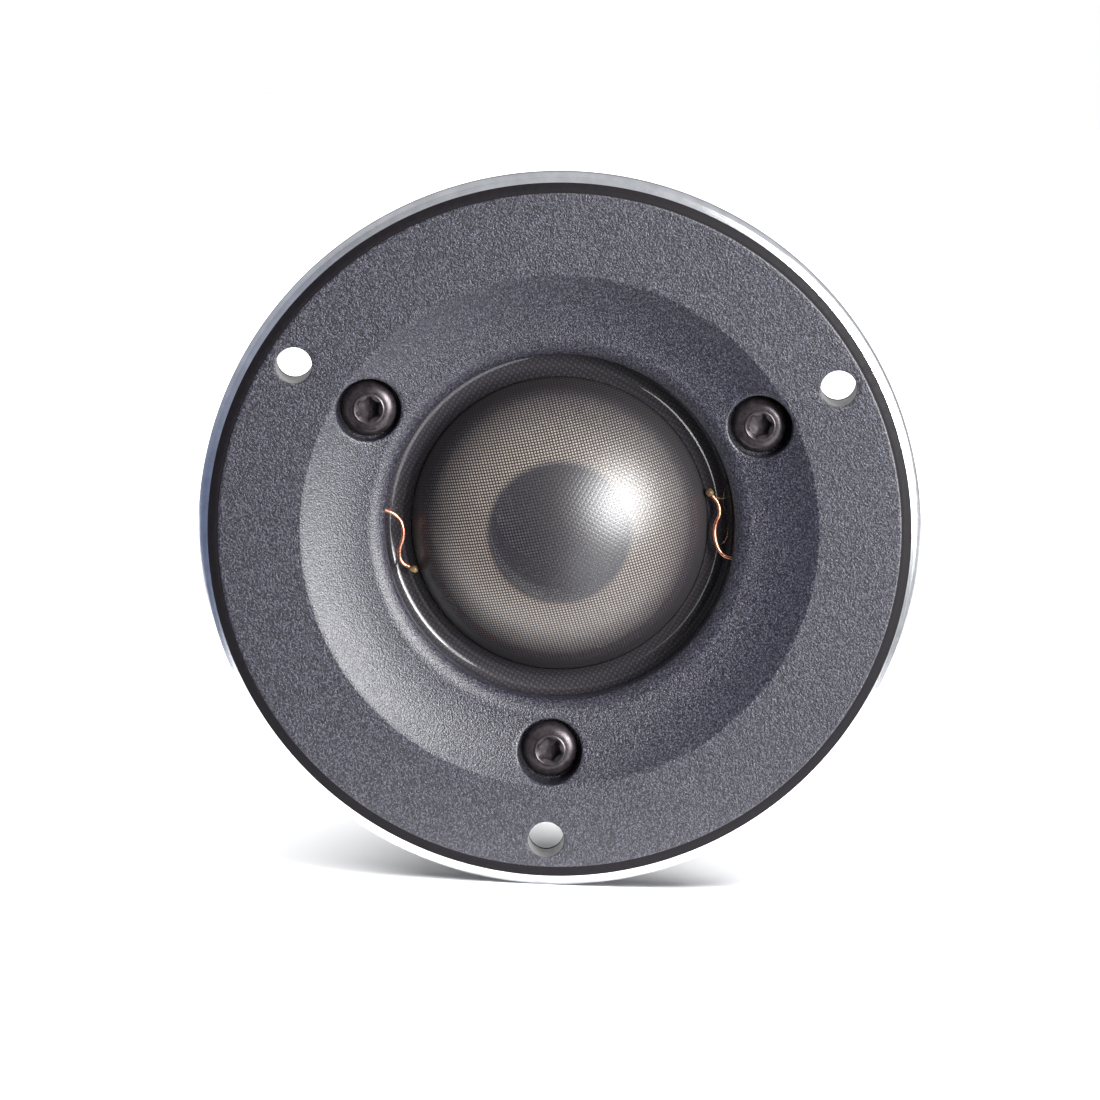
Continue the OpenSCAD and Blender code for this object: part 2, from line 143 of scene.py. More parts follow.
# Surround
FABRIC_T = 0.25
TROUGH_IN_R = DOME_R + 0.06
TROUGH_OUT_R = 17.8
TROUGH_R = 1.62
TROUGH_MID_R = (TROUGH_IN_R + TROUGH_OUT_R) / 2
TROUGH_ANGLE = math.degrees(math.asin((TROUGH_OUT_R - TROUGH_IN_R) / 2 / TROUGH_R))
TROUGH_CENTRE_Z = DOME_BASE_Z + TROUGH_R * math.cos(math.radians(TROUGH_ANGLE))
EYELET_R = 19.1
EYELET_CUTOUT_R = 1.15

# Weave: pitch of the threads, their width as a share of it, and the directions across the two thread families
PITCH = 0.301
THREAD_SHARE = 0.37
THREAD_DIRS = (18.0, 103.7)

# Coil: its wire, and its leads, whose routes are the CAD model's own
WIRE_D = 0.16
LEAD_D = 0.4
GLUE_R = 0.45
LEFT_ROUTE = [
    (-19.1, 0.8, -0.9), (-18.5, 0.85, -0.35), (-17.7, 0.8, -0.2), (-16.6, 0.4, -0.25),
    (-15.9, -0.3, -0.4), (-15.6, -1.2, -0.4), (-15.6, -2.1, -0.4), (-15.85, -3.1, -0.5),
    (-15.8, -4.1, -0.55), (-15.4, -4.7, -0.65), (-14.8, -5, -0.7),
]
RIGHT_ROUTE = [
    (18.9, -2.8, -0.9), (18.3, -2.8, -0.35), (17.5, -2.65, -0.2), (16.65, -2.45, -0.25),
    (16.05, -1.9, -0.35), (15.65, -1, -0.4), (15.5, 0, -0.4), (15.6, 0.85, -0.4),
    (15.9, 1.7, -0.45), (15.85, 2.4, -0.55), (15.6, 3, -0.6), (15.15, 3.5, -0.65),
]

# Screws: head radius, head height, shank radius, length, width of the hexagon
M3 = dict(head_r=2.85, head_h=1.65, shank_r=1.45, length=6, hexagon=2)
M25 = dict(head_r=2.3, head_h=1.35, shank_r=1.2, length=5, hexagon=1.5)
M2 = dict(head_r=1.75, head_h=1.05, shank_r=0.95, length=3.6, hexagon=1.3)

# Barrel, rear chamber and terminals
BARREL_WALL = 1.8
CUP_R = 19.4
CUP_WALL = 1.2
CUP_FLOOR = 1.4
CUP_FLANGE_T = 1.5
CUP_CHAMFER = 1.2
CHAMBER_SCREW = (22.3, 1.35)
WIRE_WELL = (13.5, 1.0)
WINDOW = (16, 6.4)
FLANGE_GASKET_R = BARREL_R + 1.2
CHAMBER_GASKET_R = 18.2
GASKET_HOLE_R = 1.5
BOARD_SCREW_X = 11
BOARD_HOLE_R = 1.1
CUP_HOLE_R = 1.0
RIVET_X = 5.5
RIVET_R = 1.1
RIVET_HEAD_R = 1.6
TAB_T = 0.5


# ---- Building meshes ----


class Shape:
    """Faces on the working axes, in millimetres, each with the number of its material. Equal points merge."""

    def __init__(self):
        self.points = []
        self.places = {}
        self.faces = []
        self.finishes = []

    def point(self, p):
        key = tuple(round(c, 4) for c in p)
        if key not in self.places:
            self.places[key] = len(self.points)
            self.points.append(key)
        return self.places[key]

    def face(self, corners, finish=0):
        ids = list(dict.fromkeys(self.point(c) for c in corners))
        if len(ids) > 2:
            self.faces.append(ids)
            self.finishes.append(finish)

    def strip(self, a, b, finish=0):
        """Quads between two closed rows of the same number of points."""
        for i in range(len(a)):
            j = (i + 1) % len(a)
            self.face([a[i], a[j], b[j], b[i]], finish)

    def skin(self, rows, finish=0):
        """Quads through a list of closed rows."""
        for a, b in zip(rows, rows[1:]):
            self.strip(a, b, finish)

    def wall(self, loop, z0, z1, finish=0):
        """The wall between two depths of a flat loop."""
        self.strip([(x, y, z0) for x, y, *_ in loop], [(x, y, z1) for x, y, *_ in loop], finish)

    def sweep(self, line, degrees, finish=0):
        """Turns a line of (r, z) points round the axis by one degree."""
        for (r0, z0), (r1, z1) in zip(line, line[1:]):
            corners = (r0, degrees, z0), (r0, degrees + 1, z0), (r1, degrees + 1, z1), (r1, degrees, z1)
            self.face([at(*corner) for corner in corners], finish)

    def revolve(self, profile, steps=180, finish=0, centre=(0, 0)):
        """Turns a line of (r, z) points round the axis."""
        self.skin([ring(r, z, steps, centre) for r, z in profile], finish)

    def cap(self, loops, z, finish=0):
        """Fills the flat region inside the first loop and outside the others."""
        for corners in triangles([[(x, y) for x, y, *_ in loop] for loop in loops]):
            self.face([(x, y, z) for x, y in corners], finish)

    def add(self, other, place):
        """Adds another shape's faces, moved by place."""
        for face, finish in zip(other.faces, other.finishes):
            self.face([place(other.points[i]) for i in face], finish)

    def build(self, name, materials, sharp, jitter=None):
        """Makes the Blender object, with smooth faces that meet sharply above the angle given."""
        points = [jitter(p) for p in self.points] if jitter else self.points
        mesh = bpy.data.meshes.new(name)
        mesh.from_pydata([placed(p) for p in points], [], self.faces)
        mesh.polygons.foreach_set("material_index", self.finishes)
        for material in materials:
            mesh.materials.append(material)
        even_normals(mesh)
        mesh.polygons.foreach_set("use_smooth", [True] * len(mesh.polygons))
        mesh.set_sharp_from_angle(angle=math.radians(sharp))
        return in_scene(name, mesh)

    def part(self, name, materials, sharp, node, slot_name, body="frame", jitter=None):
        """Builds the object and rides it on its body, in place of its CAD node. slot_name is not used."""
        piece = self.build(name, materials, sharp, jitter)
        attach(piece, body)
        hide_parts(node)
        return piece


def in_scene(name, data):
    """A new object in the scene."""
    made = bpy.data.objects.new(name, data)
    bpy.context.scene.collection.objects.link(made)
    return made


def even_normals(mesh):
    """Turns all of a mesh's faces outwards."""
    b = bmesh.new()
    b.from_mesh(mesh)
    bmesh.ops.recalc_face_normals(b, faces=b.faces)
    b.to_mesh(mesh)
    b.free()


def ring(r, z, steps, centre=(0, 0)):
    """Points of a circle at depth z."""
    turn = [2 * math.pi * i / steps for i in range(steps)]
    return [(centre[0] + r * math.cos(t), centre[1] + r * math.sin(t), z) for t in turn]


def polar(r, degrees):
    """A point at a radius and direction from the axis."""
    return r * math.cos(math.radians(degrees)), r * math.sin(math.radians(degrees))


def at(r, degrees, z):
    """A point at a radius, direction and depth."""
    return (*polar(r, degrees), z)


def off(degrees, direction):
    """Angle from a direction, between -180 and 180 degrees."""
    return (degrees - direction + 180) % 360 - 180


def arc(centre, r, start, end, steps):
    """Points of an arc, its angles in degrees measured from the r axis."""
    turn = [math.radians(start + (end - start) * i / steps) for i in range(steps + 1)]
    return [(centre[0] + r * math.cos(t), centre[1] + r * math.sin(t)) for t in turn]


def rounded(outline, radius, steps=4):
    """A closed outline with the corners that are off the axis rounded."""
    result = []
    for i, corner in enumerate(outline):
        here = Vector(corner)
        back, on = Vector(outline[i - 1]) - here, Vector(outline[(i + 1) % len(outline)]) - here
        half = back.angle(on) / 2
        if corner[0] == 0 or half > math.radians(88):
            result.append(tuple(corner))
            continue
        reach = min(radius / math.tan(half), 0.45 * back.length, 0.45 * on.length)
        start, end = here + reach * back.normalized(), here + reach * on.normalized()
        for k in range(steps + 1):
            t = k / steps
            result.append(tuple((1 - t) ** 2 * start + 2 * t * (1 - t) * here + t * t * end))
    return result


def inside(p, loop):
    """True if a point lies inside a closed loop."""
    found = False
    for (x0, y0), (x1, y1) in zip(loop, loop[1:] + loop[:1]):
        if (y0 > p[1]) != (y1 > p[1]) and p[0] < (x1 - x0) * (p[1] - y0) / (y1 - y0) + x0:
            found = not found
    return found


def triangles(loops, extra=()):
    """Triangles that fill the first loop outside the others, through the extra points."""
    points, edges = [], []
    for loop in loops:
        first = len(points)
        points += loop
        edges += [(first + i, first + (i + 1) % len(loop)) for i in range(len(loop))]
    points += extra
    flat, _, faces, origin, *_ = delaunay_2d_cdt([Vector(p) for p in points], edges, [], 0, 1e-6)
    spots = [points[o[0]] if o else tuple(v) for v, o in zip(flat, origin)]
    for face in faces:
        corners = [spots[i] for i in face]
        middle = (sum(c[0] for c in corners) / len(corners), sum(c[1] for c in corners) / len(corners))
        if inside(middle, loops[0]) and not any(inside(middle, hole) for hole in loops[1:]):
            yield corners


def circle(r, steps, centre=(0, 0)):
    """A circle as a flat loop."""
    return [(x, y) for x, y, _ in ring(r, 0, steps, centre)]


def rectangle(w, h, corner_r, steps=4):
    """A rectangle about the axis, with round corners."""
    x, y = w / 2, h / 2
    return rounded([(x, -y), (x, y), (-x, y), (-x, -y)], corner_r, steps)


def spline(points, steps):
    """Catmull-Rom points between each pair of route points."""
    result = []
    for i in range(len(points) - 1):
        a, b, c, d = (Vector(points[min(max(k, 0), len(points) - 1)]) for k in (i - 1, i, i + 1, i + 2))
        for k in range(steps):
            t = k / steps
            curve = 2 * b + (c - a) * t + (2 * a - 5 * b + 4 * c - d) * t**2 + (3 * b - a - 3 * c + d) * t**3
            result.append(0.5 * curve)
    return result + [Vector(points[-1])]


def tube(shape, path, radius, sides=14):
    """A round tube with closed ends along a path. radius is a function of the share of the way along."""
    last = len(path) - 1
    rows = []
    side = None
    for i, p in enumerate(path):
        along = (path[min(i + 1, last)] - path[max(i - 1, 0)]).normalized()
        side = along.orthogonal() if side is None else side - side.dot(along) * along
        side.normalize()
        up = along.cross(side)
        r = radius(i / last)
        turn = [2 * math.pi * k / sides for k in range(sides)]
        rows.append([tuple(p + r * (math.cos(t) * side + math.sin(t) * up)) for t in turn])
    shape.skin(rows)
    shape.face(rows[0])
    shape.face(rows[-1])


# ---- Materials ----


class Net:
    """A node tree. Colours are linear, and texture() works in millimetres on the frame's axes."""

    def __init__(self, owner):
        self.owner = bpy.data.materials.new(owner) if isinstance(owner, str) else owner
        self.owner.use_nodes = True
        self.tree = self.owner.node_tree
        self.tree.nodes.clear()

    def add(self, kind, inputs=None, **settings):
        node = self.tree.nodes.new("ShaderNode" + kind)
        for name, value in settings.items():
            setattr(node, name, value)
        for name, value in (inputs or {}).items():
            if isinstance(value, bpy.types.NodeSocket):
                self.tree.links.new(value, node.inputs[name])
            else:
                node.inputs[name].default_value = value
        return node

    def math(self, operation, *values, clamp=False):
        return self.add("Math", dict(enumerate(values)), operation=operation, use_clamp=clamp).outputs[0]

    def plus(self, a, b):
        return self.math("ADD", a, b)

    def times(self, a, b):
        return self.math("MULTIPLY", a, b)

    def vector(self, operation, *values):
        node = self.add("VectorMath", dict(enumerate(values)), operation=operation)
        return node.outputs["Value" if operation in ("DOT_PRODUCT", "LENGTH") else "Vector"]

    def texture(self, scale=(1, 1, 1)):
        """The object's own coordinates in millimetres, stretched by scale."""
        spot = self.add("TexCoord").outputs["Object"]
        return self.vector("MULTIPLY", spot, tuple(s / MM for s in scale))

    def axes(self):
        """The object's own coordinates, one by one."""
        return self.add("SeparateXYZ", {0: self.texture()}).outputs

    def radius(self):
        """Distance from the tweeter's axis."""
        x, _, z = self.axes()
        return self.math("SQRT", self.plus(self.math("POWER", x, 2.0), self.math("POWER", z, 2.0)))

    def turned(self, across, along, around):
        """Coordinates for marks left by turning: radius, depth and angle, each with its own density."""
        x, y, z = self.axes()
        parts = (self.radius(), across), (y, along), (self.math("ARCTAN2", z, x), around)
        return self.add("CombineXYZ", {i: self.times(*part) for i, part in enumerate(parts)}).outputs[0]

    def noise(self, spot, scale, detail=2.0, rough=0.5, distortion=0.0):
        inputs = {"Vector": spot, "Scale": scale, "Detail": detail, "Roughness": rough}
        inputs["Distortion"] = distortion
        return self.add("TexNoise", inputs).outputs["Fac"]

    def span(self, value, low, high, to_low=0.0, to_high=1.0, smoothly=False):
        """Maps a value from one range to another, and holds it at the ends."""
        kind = "SMOOTHSTEP" if smoothly else "LINEAR"
        inputs = {"Value": value, "From Min": low, "From Max": high, "To Min": to_low, "To Max": to_high}
        return self.add("MapRange", inputs, interpolation_type=kind).outputs["Result"]

    def spread(self, value, low=0.0, high=1.0):
        """Maps the range that a noise mostly keeps to."""
        return self.span(value, 0.3, 0.7, low, high)

    def mix(self, share, a, b):
        colours = [(*c, 1) if isinstance(c, tuple) else c for c in (a, b)]
        return self.add("Mix", {0: share, 6: colours[0], 7: colours[1]}, data_type="RGBA").outputs[2]

    def bump(self, height, distance, strength=1.0, normal=None):
        inputs = {"Height": height, "Distance": distance * MM, "Strength": strength}
        if normal is not None:
            inputs["Normal"] = normal
        return self.add("Bump", inputs).outputs[0]

    def principled(self, **inputs):
        """Ends the tree. An input's name is written with underscores."""
        named = {k.replace("_", " "): (*v, 1) if isinstance(v, tuple) else v for k, v in inputs.items()}
        return self.end("OutputMaterial", self.add("BsdfPrincipled", named))

    def end(self, kind, shader):
        self.add(kind, {"Surface": shader.outputs[0]})
        return self.owner


def textured_coat():
    """Black powder coat with a fine pebbled grain, with painted highlights on the grain's tips and painted
    shade in its pits.
    """
    net = Net("textured_coat")
    spot = net.texture()
    pebbles = net.noise(spot, 5.4, 1.0, 0.5)
    grain = net.noise(spot, 10.5, 1.0, 0.6)
    height = net.plus(pebbles, net.times(grain, 0.6))
    cloud = net.noise(spot, 0.16, 2.0)
    both = net.plus(pebbles, grain)
    # Masks for the painted highlight on the grain's tips and the painted shade in its pits.
    painted_highlight_tips = net.span(both, 1.0, 1.4)
    painted_shade_pits = net.span(both, 1.0, 0.7)
    tint = net.mix(cloud, (0.0155, 0.0148, 0.0222), (0.019, 0.0182, 0.027))
    # Painted shade: the grain's pits are darkened.
    tint = net.mix(net.times(painted_shade_pits, 0.9), tint, (0.002, 0.002, 0.003))
    # Painted highlight: the grain's tips are lightened.
    tint = net.mix(painted_highlight_tips, tint, (0.106, 0.102, 0.134))
    return net.principled(
        Base_Color=tint,
        Roughness=net.spread(grain, 0.3, 0.37),
        Specular_IOR_Level=0.55,
        Normal=net.bump(height, 0.065, 0.85),
    )


def smooth_band():
    """The bevel outside the textured face, in smooth black paint."""
    net = Net("smooth_band")
    mottle = net.noise(net.texture(), 2.0, 3.0)
    return net.principled(
        Base_Color=net.mix(mottle, (0.005, 0.0043, 0.0055), (0.011, 0.0095, 0.0115)),
        Roughness=net.spread(mottle, 0.5, 0.62),
        Specular_IOR_Level=0.12,
        Normal=net.bump(mottle, 0.012, 0.6),
    )


def turned_metal(name, colour, rough, marks=1.0, metallic=1.0):
    """Machined metal: fine rings left by the tool, with faint stains."""
    net = Net(name)
    rings = net.noise(net.turned(14.0, 14.0, 1.2), 1.0, 3.0, 0.6)
    stains = net.noise(net.texture(), 0.6, 3.0)
    dark = tuple(0.86 * c for c in colour)
    return net.principled(
        Base_Color=net.mix(net.span(stains, 0.35, 0.65), dark, colour),
        Metallic=metallic,
        Roughness=net.spread(rings, rough * 0.75, rough * 1.3),
        Normal=net.bump(rings, 0.01 * marks, 0.5),
    )


def cast_finish(name, colour, rough, grain=6.0, depth=0.01, metallic=0.0, specular=0.5, contrast=0.25):
    """A finish with an even fine grain: plated, blasted or moulded."""
    net = Net(name)
    spot = net.texture()
    fine = net.noise(spot, grain, 2.0)
    cloud = net.noise(spot, 0.35, 2.0)
    dark, light = (tuple(c * (1 + s * contrast) for c in colour) for s in (-1, 1))
    return net.principled(
        Base_Color=net.mix(net.spread(cloud), dark, light),
        Metallic=metallic,
        Roughness=net.spread(fine, rough * 0.85, rough * 1.15),
        Specular_IOR_Level=specular,
        Normal=net.bump(fine, depth, 0.6),
    )


def fibrous(name, light, dark, scale, depth, glue_and_shade_r=None):
    """Felt or wool: matted fibres with a soft sheen. The last argument is the radius that dark glue has
    spread from; from 1.5 to 2 times that radius the felt gets darker outwards, as painted shade.
    """
    net = Net(name)
    spot = net.texture()
    tangle = net.noise(spot, scale, 4.0, 0.65, 1.2)
    fleck = net.noise(spot, scale * 3.1, 2.0)
    height = net.plus(tangle, net.times(fleck, 0.5))
    tint = net.mix(net.span(tangle, 0.35, 0.65), dark, light)
    if glue_and_shade_r:
        radius = net.radius()
        dry = net.span(radius, glue_and_shade_r - 0.1, glue_and_shade_r + 0.8, smoothly=True)
        # Painted shade: the felt is darkened towards its outer edge.
        edge = net.span(radius, 1.5 * glue_and_shade_r, 2 * glue_and_shade_r, 1.0, 0.3)
        # Dark glue round the hole and the painted shade at the outer edge darken the felt together.
        tint = net.mix(net.times(dry, edge), (0.04, 0.036, 0.042), tint)
    return net.principled(
        Base_Color=tint,
        Roughness=0.95,
        Sheen_Weight=0.3,
        Specular_IOR_Level=0.2,
        Normal=net.bump(height, depth, 0.8),
    )


def blackened_steel():
    """Black oxide with a brown cast, in blotches."""
    net = Net("blackened_steel")
    spot = net.texture()
    blotch = net.noise(spot, 1.8, 3.0)
    fine = net.noise(spot, 12.0, 2.0)
    return net.principled(
        Base_Color=net.mix(net.span(blotch, 0.35, 0.65), (0.032, 0.026, 0.029), (0.06, 0.05, 0.056)),
        Metallic=0.6,
        Roughness=net.spread(fine, 0.24, 0.36),
        Normal=net.bump(fine, 0.006, 0.6),
    )


def thread_distance(net, direction, sphere_r=None):
    """Distance from the nearest thread's middle, 0 to 1, and the count of threads across the fabric."""
    x, y = polar(1, direction)
    across = net.vector("DOT_PRODUCT", net.texture(), (x, 0, y))
    if sphere_r:
        across = net.times(net.math("ARCSINE", net.math("DIVIDE", across, sphere_r)), sphere_r)
    count = net.math("DIVIDE", across, PITCH)
    return to_middle(net, count), count


def to_middle(net, count):
    """Distance from the middle of the nearest of a row of threads, 0 to 1."""
    return net.times(net.math("PINGPONG", count, 0.5), 2.0)


def round_top(net, near):
    """Height across a thread's round top."""
    return net.math("SQRT", net.math("SUBTRACT", 1.0, net.math("POWER", near, 2.0), clamp=True))


def thread_height(net, near, count, other_count):
    """Rounded top of a thread, which rises over one crossing and dips under the next."""
    wave = net.math("COSINE", net.times(other_count, math.pi))
    turn = net.math("COSINE", net.times(count, math.pi))
    over = net.times(net.times(wave, net.math("SIGN", turn)), 0.25)
    return net.plus(round_top(net, near), over)


def weave(net, sphere_r=None):
    """Distance from each family's nearest thread, and the fabric's height."""
    (near_a, count_a), (near_b, count_b) = (thread_distance(net, d, sphere_r) for d in THREAD_DIRS)
    tops = thread_height(net, near_a, count_a, count_b), thread_height(net, near_b, count_b, count_a)
    return near_a, near_b, net.math("MAXIMUM", *tops)


def open_weave():
    """The dome's fabric: dark threads with a thin coating, which leaves most of each opening clear."""
    net = Net("open_weave")
    near_a, near_b, height = weave(net, DOME_SPHERE_R)
    radius = net.radius()
    share = net.span(radius, 0.6 * DOME_R, DOME_R, THREAD_SHARE, THREAD_SHARE + 0.1)
    soft_edge = net.plus(share, 0.06)
    glued = net.span(radius, DOME_R - 1.7, DOME_R - 0.4, smoothly=True)
    clear = net.times(*(net.span(near, share, soft_edge) for near in (near_a, near_b)))
    opening = net.times(clear, net.math("SUBTRACT", 1.0, glued))
    slub = net.noise(net.texture(), 1.3, 3.0)
    tint = net.mix(slub, (0.01, 0.008, 0.009), (0.02, 0.016, 0.017))
    tint = net.mix(opening, tint, (0.16, 0.16, 0.195))
    return net.principled(
        Base_Color=net.mix(glued, tint, net.mix(clear, (0.01, 0.009, 0.01), (0.04, 0.036, 0.038))),
        Roughness=0.36,
        Specular_IOR_Level=net.span(opening, 0.0, 1.0, 0.72, 1.0),
        IOR=net.span(opening, 0.0, 1.0, 1.5, 2.0),
        Alpha=net.math("SUBTRACT", 1.0, net.times(opening, 0.77)),
        Normal=net.bump(height, 0.03, 0.5),
    )


def coated_weave():
    """The surround's fabric: the same threads, filled and covered by a glossy black coating."""
    net = Net("coated_weave")
    *_, height = weave(net)
    ripple = net.noise(net.texture(), 1.1, 3.0)
    # Painted highlight: the thread tops are painted lighter than the coating between them.
    tint = net.mix(net.span(height, 0.4, 1.1), (0.003, 0.0026, 0.0033), (0.034, 0.031, 0.036))
    return net.principled(
        Base_Color=tint,
        Roughness=0.4,
        Specular_IOR_Level=0.12,
        Coat_Weight=1.0,
        Coat_Roughness=0.05,
        Normal=net.bump(height, 0.03, 0.9),
        Coat_Normal=net.bump(net.plus(ripple, net.times(height, 0.2)), 0.015, 0.3),
    )


def copper_wire():
    """Bare copper, handled and a little dull in places."""
    net = Net("copper_wire")
    spot = net.texture()
    patch = net.noise(spot, 1.6, 3.0)
    return net.principled(
        Base_Color=net.mix(net.span(patch, 0.35, 0.65), (0.48, 0.17, 0.1), (0.78, 0.38, 0.25)),
        Metallic=0.9,
        Roughness=net.spread(patch, 0.24, 0.42),
        Normal=net.bump(net.noise(spot, 5.0, 2.0), 0.02, 0.5),
    )


def amber_glue():
    """Clear amber adhesive."""
    net = Net("amber_glue")
    cloud = net.noise(net.texture(), 1.8, 2.0)
    return net.principled(
        Base_Color=net.mix(net.span(cloud, 0.4, 0.6), (0.09, 0.05, 0.018), (0.26, 0.17, 0.075)),
        Roughness=0.22,
        Transmission_Weight=0.25,
        Normal=net.bump(cloud, 0.05, 0.5),
    )


def wound_wire():
    """Turns of enamelled wire, side by side."""
    net = Net("wound_wire")
    turns = round_top(net, to_middle(net, net.times(net.axes()[1], 1 / WIRE_D)))
    patch = net.noise(net.texture(), 1.2, 2.0)
    return net.principled(
        Base_Color=net.mix(patch, (0.5, 0.2, 0.07), (0.72, 0.34, 0.14)),
        Metallic=0.8,
        Roughness=0.3,
        Coat_Weight=0.5,
        Normal=net.bump(turns, 0.06, 0.9),
    )


# ---- Faceplate ----


def front_z(r):
    """Height of the plate's front: the roll, the dished recess, the flat, the band and the rim's bevel."""
    if r <= ROLL_START_R:
        return ROLL_CENTRE[1] + math.sqrt(ROLL_R**2 - (r - ROLL_CENTRE[0]) ** 2)
    if r <= RECESS_R:
        return DISH_CENTRE[1] - math.sqrt(DISH_R**2 - (r - DISH_CENTRE[0]) ** 2)
    if r <= COAT_R - 0.15:
        return FLANGE_T
    line = [
        (COAT_R - 0.15, 0), (CUT_R, 0.01), (CUT_R + CUT_W, 0.05), (COAT_R + 0.35, 0.08),
        (BAND_R - 0.04, 0.43), (BAND_R + 0.03, 0.47), (RIM_STEP_R, 0.71), (PLATE_R - 0.05, RIM_DROP - 0.03),
    ]
    for (r0, d0), (r1, d1) in zip(line, line[1:]):
        if r <= r1 + 1e-9:
            return FLANGE_T - d0 - (d1 - d0) * (r - r0) / (r1 - r0)
    return FLANGE_T - RIM_DROP


# The patches round the counterbores and the mounting holes: inner and outer ring, and half the angle
SCREW_PATCH = (18.95, 26.3, 11)
MOUNT_PATCH = (28.9, 33.6, 5)
# The plate's finishes, in the order of its materials
COAT, BAND, METAL, BORE = range(4)


def front_rings():
    """Radii of the front face's rings, from the wall's foot outwards."""
    slopes = [math.radians(a) for a in range(WALL_DEGREES, DISH_DEGREES, -4)]
    roll = [ROLL_CENTRE[0] - ROLL_R * math.sin(slope) for slope in slopes]
    dish = [ROLL_START_R + (RECESS_R - ROLL_START_R) * i / 14 for i in range(15)]
    low, high, _ = MOUNT_PATCH
    flat = [RECESS_R + 0.12, 26.8, 27.4, 28.1, *(low + (high - low) * i / 10 for i in range(11))]
    edge = [CUT_R, CUT_R + CUT_W, *(COAT_R + d for d in (-0.15, 0.15, 0.35, 0.6)), BARE_R, BAND_R - 0.04]
    rim = [BAND_R + 0.03, BAND_R + 0.25, RIM_STEP_R - 0.02, RIM_STEP_R, RIM_STEP_R + 0.2, PLATE_R - 0.05]
    return sorted({round(r, 4) for r in (*roll, *dish, *flat, *edge, *rim, *SCREW_PATCH[:2])})


def front_finish(r):
    """The finish of the front face at a radius."""
    if r < CUT_R + CUT_W:
        return COAT
    return BAND if r < BARE_R else METAL


def hole_patch(shape, rings, patch, direction, hole_at, hole_r, lead_in, steps=96):
    """Fills a patch of the front face around a hole whose edge is rounded. Returns the edge's loop.

    The triangles are found on a sheet whose axes are angle and radius, where the patch is a rectangle.
    """
    low, high, half = patch
    rows = [r for r in rings if low - 1e-6 <= r <= high + 1e-6]
    columns = range(-half, half + 1)
    centre = polar(hole_at, direction)
    per_degree = math.radians(hole_at)

    def sheet(x, y):
        return off(math.degrees(math.atan2(y, x)), direction) * per_degree, math.hypot(x, y)

    spots = {(a * per_degree, r): polar(r, direction + a) for a in columns for r in rows}
    boundary = [(a * per_degree, rows[0]) for a in columns] + [(half * per_degree, r) for r in rows[1:-1]]
    boundary += [(a * per_degree, rows[-1]) for a in reversed(columns)]
    boundary += [(-half * per_degree, r) for r in rows[-2:0:-1]]
    keep_off = hole_r + lead_in + 0.12
    edge = set(boundary)
    grid = [s for s, p in spots.items() if s not in edge and math.dist(p, centre) > keep_off]
    circles = []
    for a in (0, 22, 42, 62, 90):
        loop = circle(hole_r + lead_in * (1 - math.cos(math.radians(a))), steps, centre)
        circles.append([sheet(*p) for p in loop])
        spots.update(zip(circles[-1], loop))

    def lifted(s):
        x, y = spots[s]
        reach = max(0.0, lead_in - (math.dist((x, y), centre) - hole_r)) / lead_in
        drop = lead_in * (1 - math.sqrt(max(0.0, 1 - min(1.0, reach) ** 2)))
        return (x, y, front_z(math.hypot(x, y)) - drop)

    extra = [s for loop in circles[1:] for s in loop] + grid
    for corners in triangles([boundary, circles[0]], extra):
        shape.face([lifted(s) for s in corners], COAT)
    return [lifted(s) for s in circles[0]]


def bored(shape, top, z_to, finish, rows=4):
    """A hole's wall from its uneven top loop down to a level, with the level's loop returned."""
    loops = [[(x, y, z + (z_to - z) * k / rows) for x, y, z in top] for k in range(rows + 1)]
    shape.skin(loops, finish)
    return loops[-1]


def in_patch(r, column):
    """True if the cell that starts at this ring and column belongs to a hole's patch."""
    for low, high, half in (SCREW_PATCH, MOUNT_PATCH):
        for direction in TRI:
            if low - 1e-6 <= r < high - 1e-6 and (column - direction + half) % 360 < 2 * half:
                return True
    return False


def in_slot(column):
    """True if the lip's column has a lead slot under it."""
    return any(abs(off(column + 0.5, d)) < SLOT_HALF_ANGLE for d in LEAD_DIRS)


def lip(shape, rings):
    """The throat's wall and the lip's underside, notched where the leads pass."""
    wall_top = (rings[0], front_z(rings[0]))

    def wall_r(z):
        return THROAT_R + (wall_top[0] - THROAT_R) * (z - LIP_Z) / (wall_top[1] - LIP_Z)

    wall = [(wall_r(z), z) for z in (SLOT_TOP_Z, -0.5, LIP_Z + 0.08)]
    full = [wall_top, *wall, (THROAT_R + 0.06, LIP_Z), (POCKET_R, LIP_Z)]
    slotted = [*full[:2], (POCKET_R, SLOT_TOP_Z)]
    for a in range(360):
        shape.sweep(slotted if in_slot(a) else full, a)
        if in_slot(a):
            shape.sweep([(POCKET_R, SLOT_TOP_Z), (POCKET_R, LIP_Z)], a)
        if in_slot(a) != in_slot(a - 1):
            shape.face([at(r, a, z) for r, z in full[1:]] + [at(POCKET_R, a, SLOT_TOP_Z)])
        shape.sweep([(POCKET_R, LIP_Z), (POCKET_R, BOSS_Z)], a, METAL)


